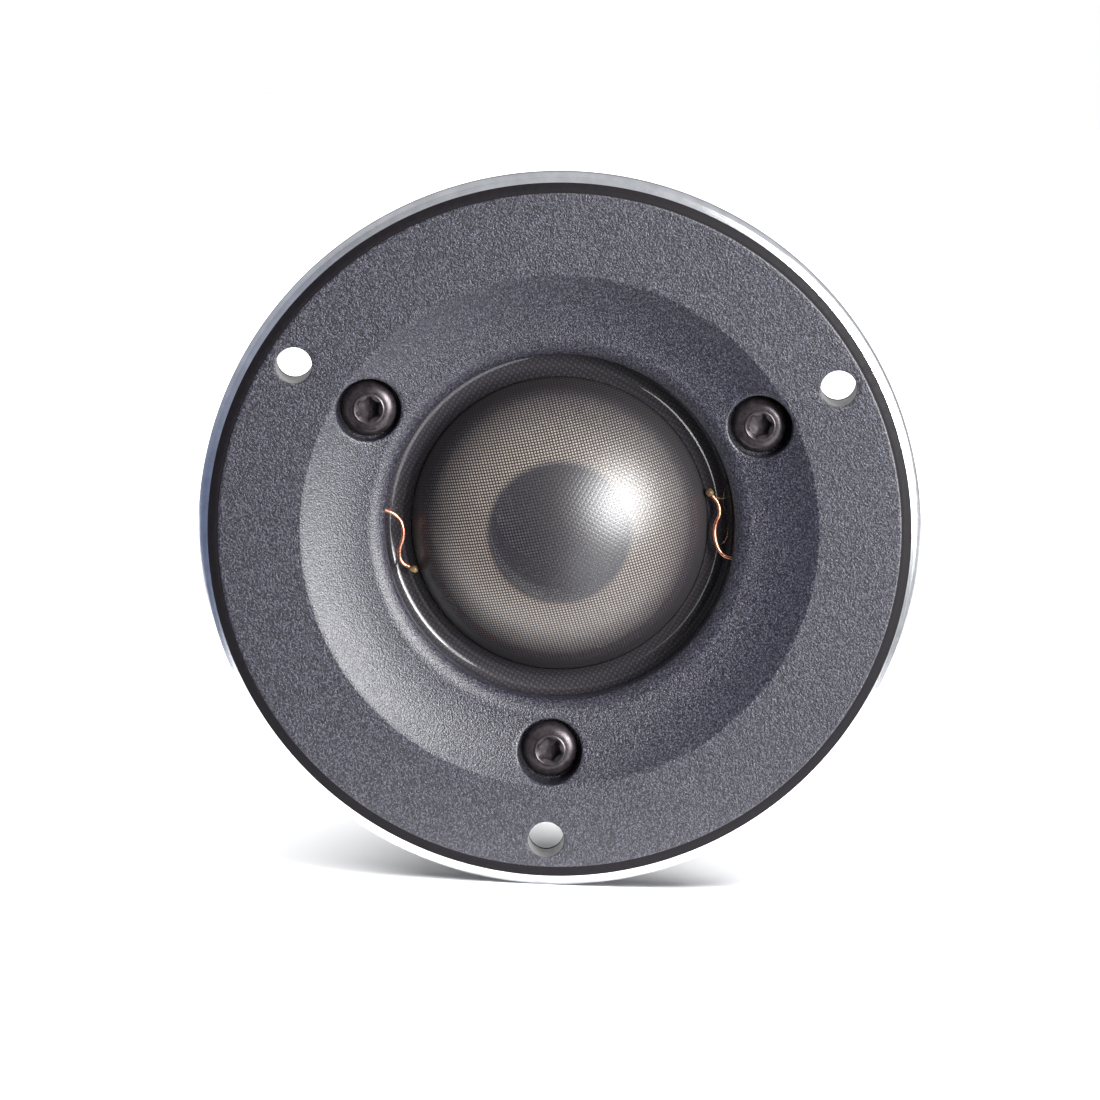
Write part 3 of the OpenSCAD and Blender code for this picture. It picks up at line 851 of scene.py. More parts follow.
def faceplate():
    """The plate: textured face with a dished recess, its holes, smooth band, bare rim and back."""
    shape = Shape()
    rings = front_rings()
    for r0, r1 in zip(rings, rings[1:]):
        line = [(r0, front_z(r0)), (r1, front_z(r1))]
        for a in range(360):
            if not in_patch(r0, a):
                shape.sweep(line, a, front_finish((r0 + r1) / 2))
    lip(shape, rings)
    for direction in TRI:
        edge = hole_patch(shape, rings, SCREW_PATCH, direction, SCREW_HOLE[0], COUNTERBORE_R, 0.22)
        seat = bored(shape, edge, SEAT_Z, COAT)
        hole = ring(SCREW_HOLE[1], SEAT_Z, 96, polar(SCREW_HOLE[0], direction))
        shape.strip(seat, hole, COAT)
        shape.wall(hole, SEAT_Z, BOSS_Z, METAL)
        edge = hole_patch(shape, rings, MOUNT_PATCH, direction, *MOUNT_HOLE, 0.06, 72)
        bored(shape, edge, 0, BORE)
    rim_z = FLANGE_T - RIM_DROP
    edge_drops = (0.07, 0.5 * RIM_EDGE_H, RIM_EDGE_H - 0.06)
    rim_line = [(PLATE_R - 0.05, front_z(PLATE_R - 0.05)), (PLATE_R - 0.01, rim_z - 0.02)]
    rim_line += [(PLATE_R, rim_z - drop) for drop in edge_drops]
    shape.revolve([*rim_line, (PLATE_R - 0.04, rim_z - RIM_EDGE_H), (BACK_R, 0)], 360, METAL)
    shape.revolve([(BARREL_R, 0), (BARREL_R, BOSS_Z)], 360, METAL)
    mount_holes = [circle(MOUNT_HOLE[1], 72, polar(MOUNT_HOLE[0], a)) for a in TRI]
    shape.cap([circle(BACK_R, 360), circle(BARREL_R, 360), *mount_holes], 0, METAL)
    screw_holes = [circle(SCREW_HOLE[1], 96, polar(SCREW_HOLE[0], a)) for a in TRI]
    shape.cap([circle(BARREL_R, 360), circle(POCKET_R, 360), *screw_holes], BOSS_Z, METAL)
    rim = turned_metal("turned_rim", (0.76, 0.77, 0.79), 0.2, 1.4)
    bore = cast_finish("bored_wall", (0.55, 0.54, 0.53), 0.42, 8.0, 0.01, 0.85, contrast=0.12)
    shape.part("faceplate_body", [textured_coat(), smooth_band(), rim, bore], 40, "faceplate", "plate_coat")


# ---- Screws ----


def hexagon_r(width, t):
    """Distance from a hexagon's middle to its side in direction t."""
    sixth = math.pi / 3
    return width / 2 / math.cos((t % sixth) - sixth / 2)


def screw_shape(head_r, head_h, shank_r, length, hexagon, steps=96):
    """A button-head screw on its own axis, with its head's underside at z = 0 and the head forward."""
    flat_r = 0.8 * hexagon
    brim = 0.3
    crown = [
        (head_r - (head_r - flat_r) * (1 - math.cos(t)), brim + (head_h - 0.12 - brim) * math.sin(t))
        for t in (math.pi / 2 * i / 12 for i in range(13))
    ]
    lip_r = 0.72 * hexagon
    top = [(flat_r - 0.03, head_h - 0.06), (lip_r + 0.04, head_h - 0.01)]
    top += [(lip_r, head_h), (lip_r - 0.05, head_h - 0.02)]
    shank = [(0, -length), (shank_r - 0.3, -length), (shank_r, 0.3 - length), (shank_r, 0)]
    circles = [*shank, (head_r - 0.06, 0), (head_r, 0.06), *crown, *top]
    socket_z = head_h - 0.16 * hexagon
    floor_z = head_h - 0.62 * hexagon
    hexes = [(1, socket_z), (0.985, socket_z - 0.05), (0.985, floor_z)]
    hexes += [(0.5, floor_z - 0.06), (0, floor_z - 0.16)]
    shape = Shape()
    turn = [2 * math.pi * i / steps for i in range(steps)]
    rows = [ring(r, z, steps) for r, z in circles]
    sides = [(hexagon_r(hexagon, t), t) for t in turn]
    rows += [[(s * r * math.cos(t), s * r * math.sin(t), z) for r, t in sides] for s, z in hexes]
    shape.skin(rows)
    return shape


def turned_by(degrees, x, y, z, backwards=False):
    """A place for a screw: turned about its own axis, moved to (x, y, z), and facing back if asked."""
    c, s = polar(1, degrees)
    sign = -1 if backwards else 1

    def place(p):
        return (x + sign * (c * p[0] - s * p[1]), y + s * p[0] + c * p[1], z + sign * p[2])

    return place


def screws(name, node, kind, places, material, slot_name):
    """A set of equal screws as one piece."""
    shape = Shape()
    screw = screw_shape(**kind)
    for place in places:
        shape.add(screw, place)
    shape.part(name, [material], 32, node, slot_name)


def all_screws(oxide):
    """The faceplate's, the chamber's and the terminal board's screws, each turned a little differently."""
    seats = [(*polar(SCREW_HOLE[0], a), SEAT_Z) for a in TRI]
    places = [turned_by(12 + 17 * i, *seat) for i, seat in enumerate(seats)]
    screws("faceplate_button_screws", "faceplate_screws", M3, places, oxide, "black_steel")
    head_z = depths("chamber_screws")[0] + M25["head_h"]
    seats = [(*polar(CHAMBER_SCREW[0], a), head_z) for a in TRI_BETWEEN]
    places = [turned_by(25 * i, *seat, backwards=True) for i, seat in enumerate(seats)]
    screws("chamber_button_screws", "chamber_screws", M25, places, oxide, "black_steel")
    board_z = depths("terminal_board")[0]
    places = [turned_by(20 * s, s * BOARD_SCREW_X, 0, board_z, backwards=True) for s in (-1, 1)]
    zinc = cast_finish("zinc_plating", (0.62, 0.62, 0.58), 0.28, 9.0, 0.006, 1.0, contrast=0.1)
    screws("board_button_screws", "terminal_board_screws", M2, places, zinc, "zinc_steel")


# ---- Diaphragm ----


def dome():
    """A thin spherical sheet of open weave with a solid glued edge, which turns down to its foot."""
    shape = Shape()
    edge = math.degrees(math.asin(DOME_R / DOME_SPHERE_R))
    outer = arc((0, DOME_CENTRE_Z), DOME_SPHERE_R, 90, 90 - edge, 56)
    outer[0] = (0, DOME_APEX_Z)
    shape.revolve([*outer, (DOME_R, depths("dome")[0])], 192)
    shape.part("dome_weave", [open_weave()], 50, "dome", "dome_fabric", "diaphragm")


def trough_line(steps):
    """The trough's section, which bends more tightly on each side of its floor than at its walls."""
    bend_at, bend_width, tighter = 23, 9, 0.62
    tilts = [math.radians(TROUGH_ANGLE) * (2 * (i + 0.5) / steps - 1) for i in range(steps)]
    bends = [1 - tighter * math.exp(-((math.degrees(abs(t)) - bend_at) / bend_width) ** 2) for t in tilts]
    grow = (TROUGH_OUT_R - TROUGH_IN_R) / sum(b * math.cos(t) for b, t in zip(bends, tilts))
    line = [(TROUGH_IN_R, DOME_BASE_Z)]
    for b, t in zip(bends, tilts):
        r, z = line[-1]
        line.append((r + grow * b * math.cos(t), z + grow * b * math.sin(t)))
    return line[:-1]


def surround_profile():
    """Closed section of the roll: the trough, the flat that is glued down, and the same line underneath."""
    centre = (TROUGH_MID_R, TROUGH_CENTRE_Z)
    under_r = TROUGH_R + FABRIC_T
    flat_z = LIP_Z - FABRIC_T
    inner_cut = math.degrees(math.asin((TROUGH_MID_R - TROUGH_IN_R) / under_r))
    outer_cut = math.degrees(math.acos((TROUGH_CENTRE_Z - flat_z) / under_r))
    top = trough_line(72)
    flat_r = widest("surround")
    bend = [(TROUGH_OUT_R + 0.06, LIP_Z - 0.04), (TROUGH_OUT_R + 0.2, LIP_Z)]
    radii = (18.4, 18.9, 19.4, flat_r)
    flat = [(r, LIP_Z) for r in radii]
    under = [(r, flat_z) for r in radii[:0:-1]]
    return [*top, *bend, *flat, *under, *arc(centre, under_r, 270 + outer_cut, 270 - inner_cut, 18)]


def surround():
    """The coated roll between the frame and the dome's edge. Its flat has gaps for the eyelets."""
    shape = Shape()
    profile = surround_profile()
    steps = 300
    gap = math.degrees(EYELET_CUTOUT_R / EYELET_R)
    flat_from = 18.0

    def cut(degrees):
        return min(abs(off(degrees, d)) for d in LEAD_DIRS) < gap

    def spot(r, z, degrees):
        return at(min(r, flat_from), degrees, z) if cut(degrees) and r > flat_from else at(r, degrees, z)

    for i in range(steps):
        a, b = 360 * i / steps, 360 * (i + 1) / steps
        for (r0, z0), (r1, z1) in zip(profile, profile[1:] + profile[:1]):
            shape.face([spot(r0, z0, a), spot(r0, z0, b), spot(r1, z1, b), spot(r1, z1, a)])
    piece = shape.build("surround_roll", [coated_weave()], 60)
    placed((TROUGH_OUT_R, 0, LIP_Z))
    placed((DOME_R, 0, LIP_Z))
    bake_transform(piece)
    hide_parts("surround")


def coil_lead(name, node, route, material):
    """A copper lead, slightly uneven."""
    path = spline(route, 8)
    shape = Shape()
    seed = Vector((route[0][0], 3.1, 7.7))

    def radius(t):
        return LEAD_D / 2 * (0.97 + 0.03 * noise.noise(seed + Vector((t * 14, 0, 0))))

    tube(shape, path, radius)
    piece = shape.build(name, [material], 50)
    placed(route[0])
    placed(route[-1])
    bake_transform(piece)
    spots = np.array([placed(p) for p in path])
    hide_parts(node)


def blob(shape, centre, r, stretch, seed):
    """A drop with an uneven skin, stretched along a direction."""
    rows = 18
    rings = []
    for i in range(rows + 1):
        tilt = math.pi * i / rows
        rings.append([])
        for k in range(32):
            turn = 2 * math.pi * k / 32
            d = Vector((math.sin(tilt) * math.cos(turn), math.sin(tilt) * math.sin(turn), math.cos(tilt)))
            size = r * (0.86 + 0.14 * noise.noise(d * 1.4 + seed))
            rings[-1].append(tuple(centre + size * (d + 0.12 * d.dot(stretch) * stretch)))
    shape.skin(rings)


def lead_glue():
    """A drop of glue on the dome's edge past each lead, and the hair that the right one has drawn out."""
    shape = Shape()
    for i, route in enumerate((LEFT_ROUTE, RIGHT_ROUTE)):
        end, before = Vector(route[-1]), Vector(route[-2])
        along = (end - before).normalized()
        blob(shape, end + (GLUE_R + 0.02) * along, GLUE_R, along, Vector((5 * i, 2, 1)))
    root = Vector((15.5, 3.45, -0.35))
    bends = (0, 0, 0), (0.5, -0.1, 0.1), (0.95, 0.05, 0.1), (1.35, 0.2, 0)
    tube(shape, spline([root + Vector(b) for b in bends], 6), lambda t: 0.05 - 0.02 * t, 8)
    shape.part("lead_glue_drops", [amber_glue()], 60, "lead_glue", "adhesive", "diaphragm")


# ---- Motor ----


def pole_felt():
    """Felt ring on the pole, close under the dome. The cut wall of its hole is sealed with dark glue."""
    rear, front = depths("pole_felt")
    outer_r = widest("pole_felt")
    hole_r = 6.8
    face_r = math.hypot(hole_r, front - DOME_CENTRE_Z)
    rows = 24
    radii = [outer_r + (hole_r - outer_r) * i / rows for i in range(rows + 1)]
    face = [(r, DOME_CENTRE_Z + math.sqrt(face_r**2 - r**2)) for r in radii]
    wall = [(hole_r, front + (rear - front) * i / 12) for i in range(13)]
    shape = Shape()
    shape.revolve([(outer_r, rear), (outer_r, rear / 2), *face], 160)
    shape.revolve([*wall, (outer_r, rear)], 160, 1)

    def matted(p):
        r = math.hypot(p[0], p[1])
        pull = 0.05 + 0.05 * noise.noise(Vector(p) * 0.9)
        inward = 1 + pull / r if r < hole_r + 0.1 else 1 - pull / r
        return (p[0] * inward, p[1] * inward, p[2] - pull if p[2] > rear + 0.1 else p[2])

    # The felt gets painted shade towards its outer edge.
    felt = fibrous("felt", (0.9, 0.765, 0.625), (0.74, 0.61, 0.48), 2.6, 0.12, hole_r)
    sealed = fibrous("sealed_felt", (0.07, 0.066, 0.078), (0.045, 0.042, 0.05), 2.6, 0.12)
    piece = shape.part("pole_felt_ring", [felt, sealed], 50, "pole_felt", "pole_felt", jitter=matted)
    return piece


def chamber_wool():
    """A loose disc of wool with two wells for the wires."""
    rear, front = depths("chamber_wool")
    outer_r = widest("chamber_wool")
    middles = [polar(WIRE_WELL[0], a) for a in LEAD_DIRS]
    wells = [circle(WIRE_WELL[1], 20, middle) for middle in middles]
    shape = Shape()
    edge = rounded([(0, rear), (outer_r, rear), (outer_r, front), (0, front)], 1.1, 6)[1:-1]
    shape.revolve(edge, 120)
    for z, (r, _) in ((rear, edge[0]), (front, edge[-1])):
        grid = [(x * 0.9, y * 0.9) for x in range(-20, 21) for y in range(-20, 21)]
        grid = [p for p in grid if math.hypot(*p) < r - 0.6 and min(math.dist(p, m) for m in middles) > 1.3]
        for corners in triangles([circle(r, 120), *wells], grid):
            shape.face([(x, y, z) for x, y in corners])
    for well in wells:
        shape.wall(well, rear, front)

    def tufted(p):
        sink = 0.25 + 0.25 * noise.noise(Vector(p) * 0.45)
        toward = -sink if p[2] > (rear + front) / 2 else sink
        r = max(math.hypot(p[0], p[1]), 0.01)
        shrink = 1 - (sink * 0.5 / r if r > outer_r - 0.5 else 0)
        return (p[0] * shrink, p[1] * shrink, p[2] + toward)

    wool = fibrous("wool", (0.82, 0.8, 0.74), (0.6, 0.57, 0.5), 1.4, 0.3)
    piece = shape.part("chamber_wool_pad", [wool], 60, "chamber_wool", "wool", jitter=tufted)


# ---- Housing ----


def foam_ring(name, node, inner_r, holes, material):
    """A thin foam gasket with soft edges and its bolt holes."""
    rear, front = depths(node)
    outer_r = widest(node)
    ease = 0.12
    shape = Shape()
    insets = (ease, rear), (0.03, rear + 0.08), (0, (rear + front) / 2), (0.03, front - 0.08), (ease, front)
    for r, sign in ((outer_r, -1), (inner_r, 1)):
        shape.revolve([(r + sign * inset, z) for inset, z in insets], 240)
    edges = [circle(r, 240) for r in (outer_r - ease, inner_r + ease)]
    bores = [circle(r, 48, centre) for r, centre in holes]
    for z in (rear, front):
        shape.cap([*edges, *bores], z)
    for bore in bores:
        shape.wall(bore, rear, front)
    piece = shape.part(name, [material], 40, node, "gasket_foam")


def barrel():
    """The machined sleeve round the motor."""
    rear, front = depths("motor_barrel")
    inner_r = BARREL_R - BARREL_WALL
    chamfer = 0.6
    outside = [(BARREL_R, front), (BARREL_R, rear + chamfer), (BARREL_R - chamfer, rear)]
    outline = rounded([(inner_r, front), *outside, (inner_r, rear)], 0.15)
    shape = Shape()
    shape.revolve([*outline, outline[0]], 240)
    metal = turned_metal("turned_barrel", (0.66, 0.67, 0.69), 0.3, 1.2)
    shape.part("motor_barrel_sleeve", [metal], 40, "motor_barrel", "barrel_aluminium")


def cup():
    """The rear chamber: a flanged cup whose floor has the wire window and the board's screw holes."""
    rear, front = depths("chamber_cup")
    flange_r = widest("chamber_cup")
    flange_z = front - CUP_FLANGE_T
    floor_z = rear + CUP_FLOOR
    inner_r = CUP_R - CUP_WALL
    foot_r = CUP_R + 0.5
    back_r = CUP_R - CUP_CHAMFER - 0.12
    bend_z = rear + CUP_CHAMFER
    steps = 240
    shape = Shape()
    shape.revolve([(flange_r, front), (flange_r, flange_z + 0.1), (flange_r - 0.1, flange_z)], steps)
    foot = [(foot_r, flange_z), (CUP_R + 0.15, flange_z - 0.15), (CUP_R, flange_z - 0.5)]
    bevel = [(CUP_R, bend_z + 0.15), (CUP_R - 0.05, bend_z), (CUP_R - CUP_CHAMFER, rear + 0.05)]
    shape.revolve([*foot, *bevel, (back_r, rear)], steps)
    corner = [(inner_r, floor_z + 0.4), (inner_r - 0.12, floor_z + 0.12), (inner_r - 0.4, floor_z)]
    shape.revolve([(inner_r, front), *corner], steps)
    bores = [circle(CHAMBER_SCREW[1], 48, polar(CHAMBER_SCREW[0], a)) for a in TRI_BETWEEN]
    shape.cap([circle(flange_r, steps), circle(inner_r, steps), *bores], front)
    shape.cap([circle(flange_r - 0.1, steps), circle(foot_r, steps), *bores], flange_z)
    for bore in bores:
        shape.wall(bore, front, flange_z)
    window = rectangle(*WINDOW, 0.4)
    openings = [window, *(circle(CUP_HOLE_R, 32, (s * BOARD_SCREW_X, 0)) for s in (-1, 1))]
    shape.cap([circle(back_r, steps), *openings], rear)
    shape.cap([circle(inner_r - 0.4, steps), *openings], floor_z)
    for loop in openings:
        shape.wall(loop, rear, floor_z)
    metal = cast_finish("blasted_cup", (0.6, 0.61, 0.63), 0.42, 7.0, 0.02, 1.0, contrast=0.06)
    shape.part("chamber_cup_shell", [metal], 35, "chamber_cup", "cup_aluminium")


# ---- Terminals ----


def eased_plate(shape, loops, z0, z1, ease):
    """A flat plate with its outer and hole edges eased. Loops are functions of an inset."""
    steps = (0, ease), (0.3 * ease, 0.3 * ease), (ease, 0)
    levels = [(z0 + rise, inset) for rise, inset in steps]
    levels += [(z1 - rise, inset) for rise, inset in reversed(steps)]
    for loop in loops:
        shape.skin([[(x, y, z) for x, y in loop(inset)] for z, inset in levels])
    for z in (z0, z1):
        shape.cap([loop(ease) for loop in loops], z)


def terminal_board():
    """The laminate board, with its rivet and screw holes."""
    low, high = extent("terminal_board")
    w, h = high[0] - low[0], high[1] - low[1]
    loops = [lambda inset: rectangle(w - 2 * inset, h - 2 * inset, 0.8 - inset, 6)]
    for x, r in ((RIVET_X, RIVET_R), (BOARD_SCREW_X, BOARD_HOLE_R)):
        for s in (-1, 1):
            loops.append(lambda inset, x=s * x, r=r: circle(r + inset, 32, (x, 0)))
    shape = Shape()
    eased_plate(shape, loops, low[2], high[2], 0.1)
    net = Net("laminate")
    spot = net.texture()
    waves = [net.math("SINE", net.vector("DOT_PRODUCT", spot, way)) for way in ((9.0, 0, 0), (0, 0, 9.0))]
    cloth = net.times(*waves)
    board = net.principled(
        Base_Color=net.mix(net.span(cloth, -1, 1), (0.012, 0.013, 0.012), (0.028, 0.03, 0.028)),
        Roughness=net.spread(net.noise(spot, 3.0), 0.3, 0.42),
        Coat_Weight=0.3,
        Normal=net.bump(cloth, 0.01, 0.5),
    )
    shape.part("terminal_board_plate", [board], 35, "terminal_board", "board_laminate")


def tab(name, node, hole_r, material):
    """A riveted foot and a blade, bent from one strip, with a tapered tip and a hole for the plug's catch."""
    low, high = extent(node)
    w, x = high[0] - low[0], (high[0] + low[0]) / 2
    foot_z = high[2]
    bend_r = 0.35
    foot_end = high[1] - TAB_T / 2 - bend_r
    foot_len = foot_end - low[1]
    bend_len = math.pi / 2 * bend_r
    blade_len = foot_z - TAB_T / 2 - bend_r - low[2]
    length = foot_len + bend_len + blade_len
    middle_z = foot_z - TAB_T / 2

    def bent(px, s, lift):
        """The strip's point (px across, s along), lifted off its middle surface."""
        if s <= foot_len:
            return (x + px, low[1] + s, middle_z + lift)
        t = min((s - foot_len) / bend_r, math.pi / 2)
        spot = Vector((foot_end + bend_r * math.sin(t), middle_z - bend_r * (1 - math.cos(t))))
        spot += lift * Vector((math.sin(t), math.cos(t)))
        past = max(0.0, s - foot_len - bend_len)
        return (x + px, spot.x, spot.y - past)

    half, taper, cut, catch_at = w / 2, 0.55, 0.9, 1.8
    right = [(half, 0), (half, length - cut), (half - taper, length)]
    outline = rounded(right + [(-px, s) for px, s in reversed(right)], 0.25, 4)
    sides = [foot_len + bend_len * k / 6 for k in range(7)]
    lines = [(px * half, s) for s in sides for px in (-1, -0.5, 0, 0.5, 1)]
    extra = [p for p in lines if abs(p[0]) < half]
    loop = []
    for a, b in zip(outline, outline[1:] + outline[:1]):
        loop.append(a)
        if max(abs(abs(p[0]) - half) for p in (a, b)) < 1e-6 and abs(a[1] - b[1]) > 2:
            loop += [(a[0], s) for s in (sides if b[1] > a[1] else reversed(sides))]
    rivet = circle(RIVET_R, 32, (0, -low[1]))
    catch = circle(hole_r, 24, (0, length - catch_at))
    shape = Shape()
    loops = [loop, rivet, catch]
    for lift in (-TAB_T / 2, TAB_T / 2):
        for corners in triangles(loops, extra):
            shape.face([bent(px, s, lift) for px, s in corners])
    for one in loops:
        shape.strip([bent(*p, -TAB_T / 2) for p in one], [bent(*p, TAB_T / 2) for p in one])
    piece = shape.part(name, [material], 30, node, "tinned_brass")
    ease = piece.modifiers.new("ease", "BEVEL")
    ease.width = 0.06 * MM
    ease.segments = 2
    ease.angle_limit = math.radians(50)


def rivets():
    """Two rivets that clamp the tabs, with a domed head behind and a rolled one in front."""
    rear, front = depths("terminal_rivets")
    foot_z = depths("terminal_board")[0] - TAB_T
    inner_z = depths("terminal_board")[1]
    shape = Shape()
    domed = [math.pi / 2 * i / 8 for i in range(8, -1, -1)]
    head = [(RIVET_HEAD_R * math.cos(t), rear + (foot_z - rear) * (1 - math.sin(t))) for t in domed]
    curled = [math.pi / 3 * i / 6 for i in range(7)]
    rolled = [(RIVET_HEAD_R * math.cos(t), inner_z + (front - inner_z) * math.sin(t)) for t in curled]
    shank = [(RIVET_R, foot_z), (RIVET_R, inner_z)]
    line = [*head, *shank, *rolled, (0.6, front), (0.4, front - 0.15), (0, front - 0.2)]
    line[0] = (0, rear)
    for s in (-1, 1):
        shape.revolve(line, 48, 0, (s * RIVET_X, 0))
    brass = cast_finish("brass", (0.72, 0.53, 0.24), 0.3, 8.0, 0.008, 1.0, contrast=0.12)
    shape.part("terminal_rivet_pair", [brass], 40, "terminal_rivets", "brass")
    return brass


# ---- Carried-over CAD nodes ----


def carried_over(brass):
    """Materials for the inner pieces, which keep their CAD shapes."""
    steel = turned_metal("plated_steel", (0.6, 0.6, 0.61), 0.3)
    finishes = {
        "coil_former": cast_finish("former_foil", (0.75, 0.75, 0.76), 0.22, 5.0, 0.01, 1.0, contrast=0.05),
        "coil_winding": wound_wire(),
        "lead_solder": cast_finish("solder", (0.7, 0.7, 0.71), 0.25, 4.0, 0.03, 1.0, contrast=0.1),
        "lead_eyelets": brass,
        "carrier_ring": cast_finish("carrier_plastic", (0.02, 0.02, 0.022), 0.55, 5.0, 0.01),
        "top_plate": steel,
        "magnet_ring": cast_finish("magnet_nickel", (0.68, 0.66, 0.62), 0.2, 6.0, 0.006, 1.0, contrast=0.08),
        "back_plate": steel,
        "pole_piece": cast_finish("blackened_pole", (0.03, 0.03, 0.033), 0.5, 5.0, 0.01, 0.3),
        "copper_cap": turned_metal("turned_copper", (0.72, 0.33, 0.2), 0.35),
        "hookup_wire_positive": cast_finish("red_insulation", (0.45, 0.02, 0.015), 0.4, 5.0, 0.01),
        "hookup_wire_negative": cast_finish("black_insulation", (0.015, 0.015, 0.015), 0.4, 5.0, 0.01),
    }
    for node, material in finishes.items():
        mesh = frame["nodes"][node].data
        mesh.materials.clear()
        mesh.materials.append(material)


# ---- Scene ----

# The table's edges, and the strip under the tweeter that shows in its rim
TABLE_SIDES = (-0.25, 0.8)
TABLE_DEPTH = (-0.2, 0.6)
TABLE_STRIP = (-0.022, 0.014)


def table():
    """The white table that the tweeter's rim stands on. Only the strip under it shows in reflections."""
    low_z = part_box("faceplate")[0].z
    net = Net("table_white")
    cloud = net.noise(net.texture(), 0.02, 3.0)
    tint = net.mix(cloud, (0.56, 0.56, 0.565), (0.59, 0.59, 0.59))
    white = net.principled(Base_Color=tint, Roughness=0.5, Specular_IOR_Level=0.3)
    left, right = TABLE_SIDES
    edges = (TABLE_DEPTH[0], *TABLE_STRIP, TABLE_DEPTH[1])
    tops = []
    for name, front, back in zip(("table_front", "table_strip", "table_back"), edges, edges[1:]):
        mesh = bpy.data.meshes.new(name)
        corners = [(left, front), (right, front), (right, back), (left, back)]
        mesh.from_pydata([(x, y, low_z) for x, y in corners], [], [(0, 1, 2, 3)])
        mesh.materials.append(white)
        top = in_scene(name, mesh)
        top.visible_diffuse = False
        top.visible_shadow = False
        top.visible_glossy = name == "table_strip"
        tops.append(top)
    return tops


def world():
    """A bright wall behind, a grey ceiling, a bluish left and a dark room in front."""
    made = bpy.data.worlds.new("studio")
    bpy.context.scene.world = made
    net = Net(made)
    x, y, z = net.add("SeparateXYZ", {0: net.add("TexCoord").outputs["Generated"]}).outputs
    left = net.span(net.times(x, -1.0), 0.4, 0.85, smoothly=True)
    right = net.span(x, 0.35, 0.9, smoothly=True)
    up = net.span(z, 0.3, 0.75, smoothly=True)
    side_up = net.times(left, net.span(z, -0.1, 0.32))
    back = net.span(y, -0.25, 0.3, smoothly=True)
    colour = net.mix(left, (0.02, 0.02, 0.022), (0.14, 0.18, 0.3))
    colour = net.mix(side_up, colour, (0.5, 0.52, 0.6))
    colour = net.mix(right, colour, (0.4, 0.41, 0.43))
    colour = net.mix(back, colour, (0.34, 0.34, 0.35))
    colour = net.mix(up, colour, (0.62, 0.63, 0.66))
    seen = net.add("LightPath").outputs["Is Camera Ray"]
    colour = net.mix(seen, colour, (1.0, 1.0, 1.0))
    net.end("OutputWorld", net.add("Background", {"Color": colour, "Strength": 1.0}))


def toward(azimuth, elevation):
    """Unit vector from the tweeter. Azimuth 0 is straight in front, and positive is to the right."""
    a, e = math.radians(azimuth), math.radians(elevation)
    return Vector((math.sin(a) * math.cos(e), -math.cos(a) * math.cos(e), math.sin(e)))


def lamp(name, kind, direction, distance):
    """A lamp that faces the tweeter from a direction, hidden from the camera."""
    made = in_scene(name, bpy.data.lights.new(name, kind))
    made.location = direction * distance
    made.rotation_euler = direction.to_track_quat("Z", "Y").to_euler()
    made.visible_camera = False
    return made


def soft_light(name, azimuth, elevation, distance, diameter, radiance, tint=(1, 1, 1)):
    """A round softbox that faces the dome."""
    made = lamp(name, "AREA", toward(azimuth, elevation), distance)
    made.data.shape = "DISK"
    made.data.size = diameter
    made.data.color = tint
    made.data.energy = radiance * math.pi * math.pi * (diameter / 2) ** 2
    return made


def sky_patch(name, azimuth, elevation, strength, width):
    """A far, wide patch of light, even over the whole table. Its width is in degrees."""
    made = lamp(name, "SUN", toward(azimuth, elevation), 1)
    made.data.energy = strength
    made.data.angle = math.radians(width)
    return made


def aim(name, pieces, lamps, state="INCLUDE"):
    """Makes lamps light only these pieces, or all but these. The other pieces still shade them."""
    group = bpy.data.collections.new(name)
    for piece in pieces:
        group.objects.link(piece)
    for member in group.collection_objects:
        member.light_linking.link_state = state
    for one in lamps:
        one.light_linking.receiver_collection = group


# Softboxes: name, degrees to the right and up, distance and diameter in metres, radiance, and tint
DOME_LIGHTS = (
    ("key", 40.8, 12.6, 0.8, 0.42, 24),
    ("key_halo", 40.8, 12.6, 0.81, 0.7, 8),
    ("bounce", 28, -30, 0.45, 0.3, 3.0, (0.93, 0.95, 1)),
)
FELT_LIGHT = ("felt_fill", -60, 10, 0.8, 0.5, 15)
# Sky over the table: name, degrees to the right and up, strength, and width in degrees
TABLE_LIGHTS = (
    ("table_light", 48, 68, 6.5, 40),
    ("table_fill", -60, 60, 6.2, 50),
    ("table_side", 80, 50, 4, 20),
)


def lights(tops, felt):
    """The key, its halo and a bounce from below, the sky that keeps the table white, and the felt's fill."""
    aim("no_table", tops, [soft_light(*light) for light in DOME_LIGHTS], "EXCLUDE")
    aim("only_table", tops, [sky_patch(*light) for light in TABLE_LIGHTS])
    aim("only_felt", [felt], [soft_light(*FELT_LIGHT)])


# Camera: metres and degrees, the width it sees at the plate, and the plate's offset from the middle
CAMERA_DISTANCE = 0.95
CAMERA_ELEVATION = 10.05
CAMERA_YAW = -0.35
CAMERA_ROLL = 2.5
FRAME_WIDTH = 0.1094
PLATE_OFFSET = (0.00095, 0.00177)


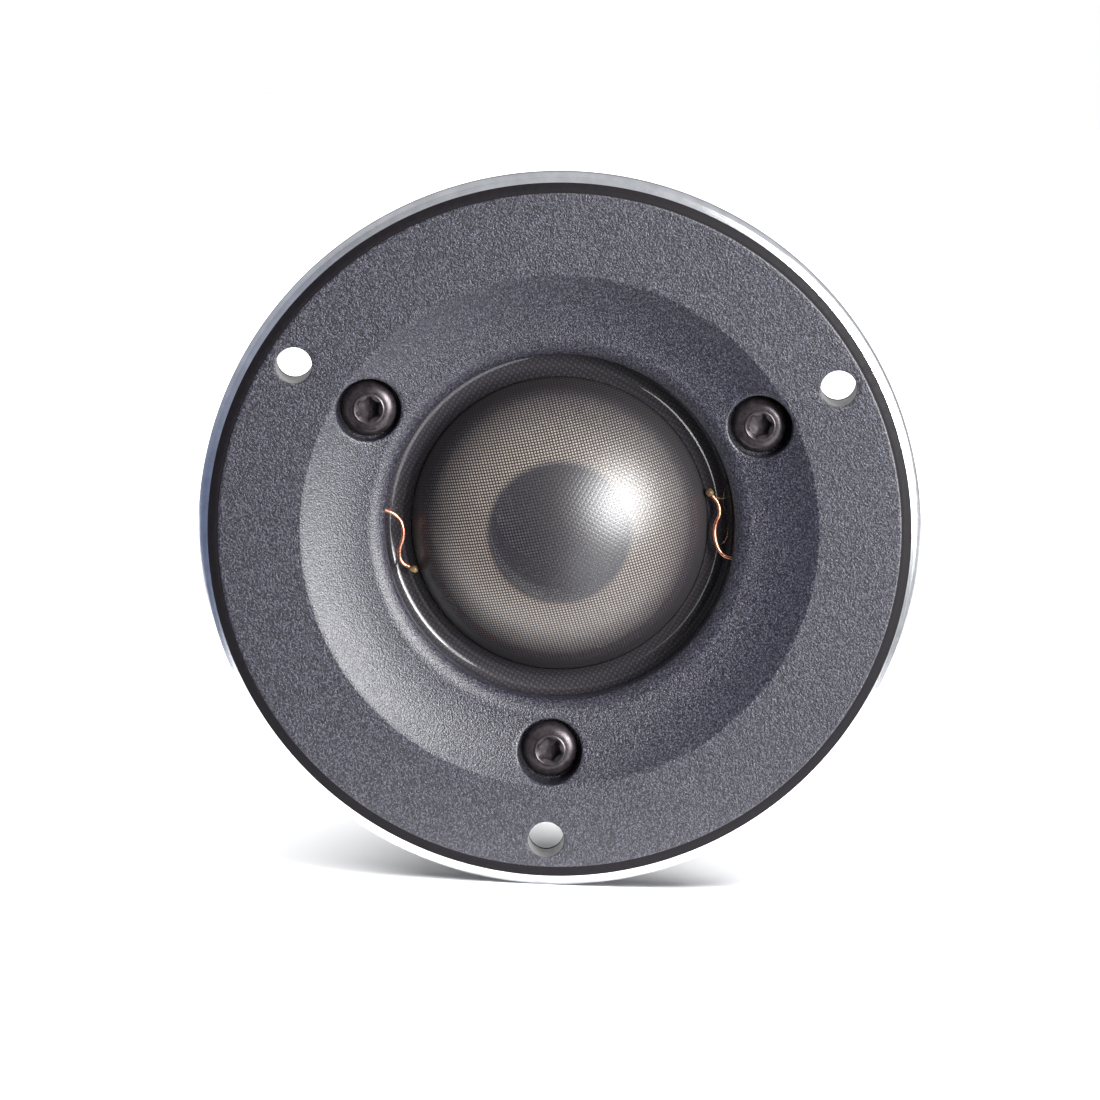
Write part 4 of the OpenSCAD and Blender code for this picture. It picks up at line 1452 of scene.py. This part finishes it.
def camera():
    """The camera: a little above the axis, rolled, with the plate right of the middle and above it."""
    data = bpy.data.cameras.new("camera")
    data.sensor_width = 36
    data.lens = data.sensor_width * CAMERA_DISTANCE / FRAME_WIDTH
    data.clip_start = 0.01
    eye = in_scene("camera", data)
    back = toward(CAMERA_YAW, CAMERA_ELEVATION)
    turn = back.to_track_quat("Z", "Y").to_matrix() @ Matrix.Rotation(math.radians(CAMERA_ROLL), 3, "Z")
    right, up = turn.col[0], turn.col[1]
    face_centre = placed((0, 0, FLANGE_T))
    eye.location = face_centre + back * CAMERA_DISTANCE - right * PLATE_OFFSET[0] - up * PLATE_OFFSET[1]
    eye.rotation_euler = turn.to_euler()
    bpy.context.scene.camera = eye


def build():
    """Makes every piece, and returns the felt, which has a light of its own."""
    oxide = blackened_steel()
    copper = copper_wire()
    foam = cast_finish("foam", (0.012, 0.012, 0.013), 0.85, 4.0, 0.05, specular=0.25)
    tin = cast_finish("tin_plating", (0.72, 0.71, 0.67), 0.25, 7.0, 0.006, 1.0, contrast=0.08)
    faceplate()
    all_screws(oxide)
    dome()
    surround()
    coil_lead("coil_lead_left_wire", "coil_lead_left", LEFT_ROUTE, copper)
    coil_lead("coil_lead_right_wire", "coil_lead_right", RIGHT_ROUTE, copper)
    lead_glue()
    felt = pole_felt()
    chamber_wool()
    mount_holes = [(MOUNT_HOLE[1], polar(MOUNT_HOLE[0], a)) for a in TRI]
    foam_ring("flange_gasket_foam", "flange_gasket", FLANGE_GASKET_R, mount_holes, foam)
    screw_holes = [(GASKET_HOLE_R, polar(CHAMBER_SCREW[0], a)) for a in TRI_BETWEEN]
    foam_ring("chamber_gasket_foam", "chamber_gasket", CHAMBER_GASKET_R, screw_holes, foam)
    barrel()
    cup()
    terminal_board()
    tab("terminal_positive_tab", "terminal_positive", 0.75, tin)
    tab("terminal_negative_tab", "terminal_negative", 0.55, tin)
    brass = rivets()
    carried_over(brass)
    return felt


bpy.context.scene.view_settings.view_transform = "Standard"
camera()
world()
lights(table(), build())
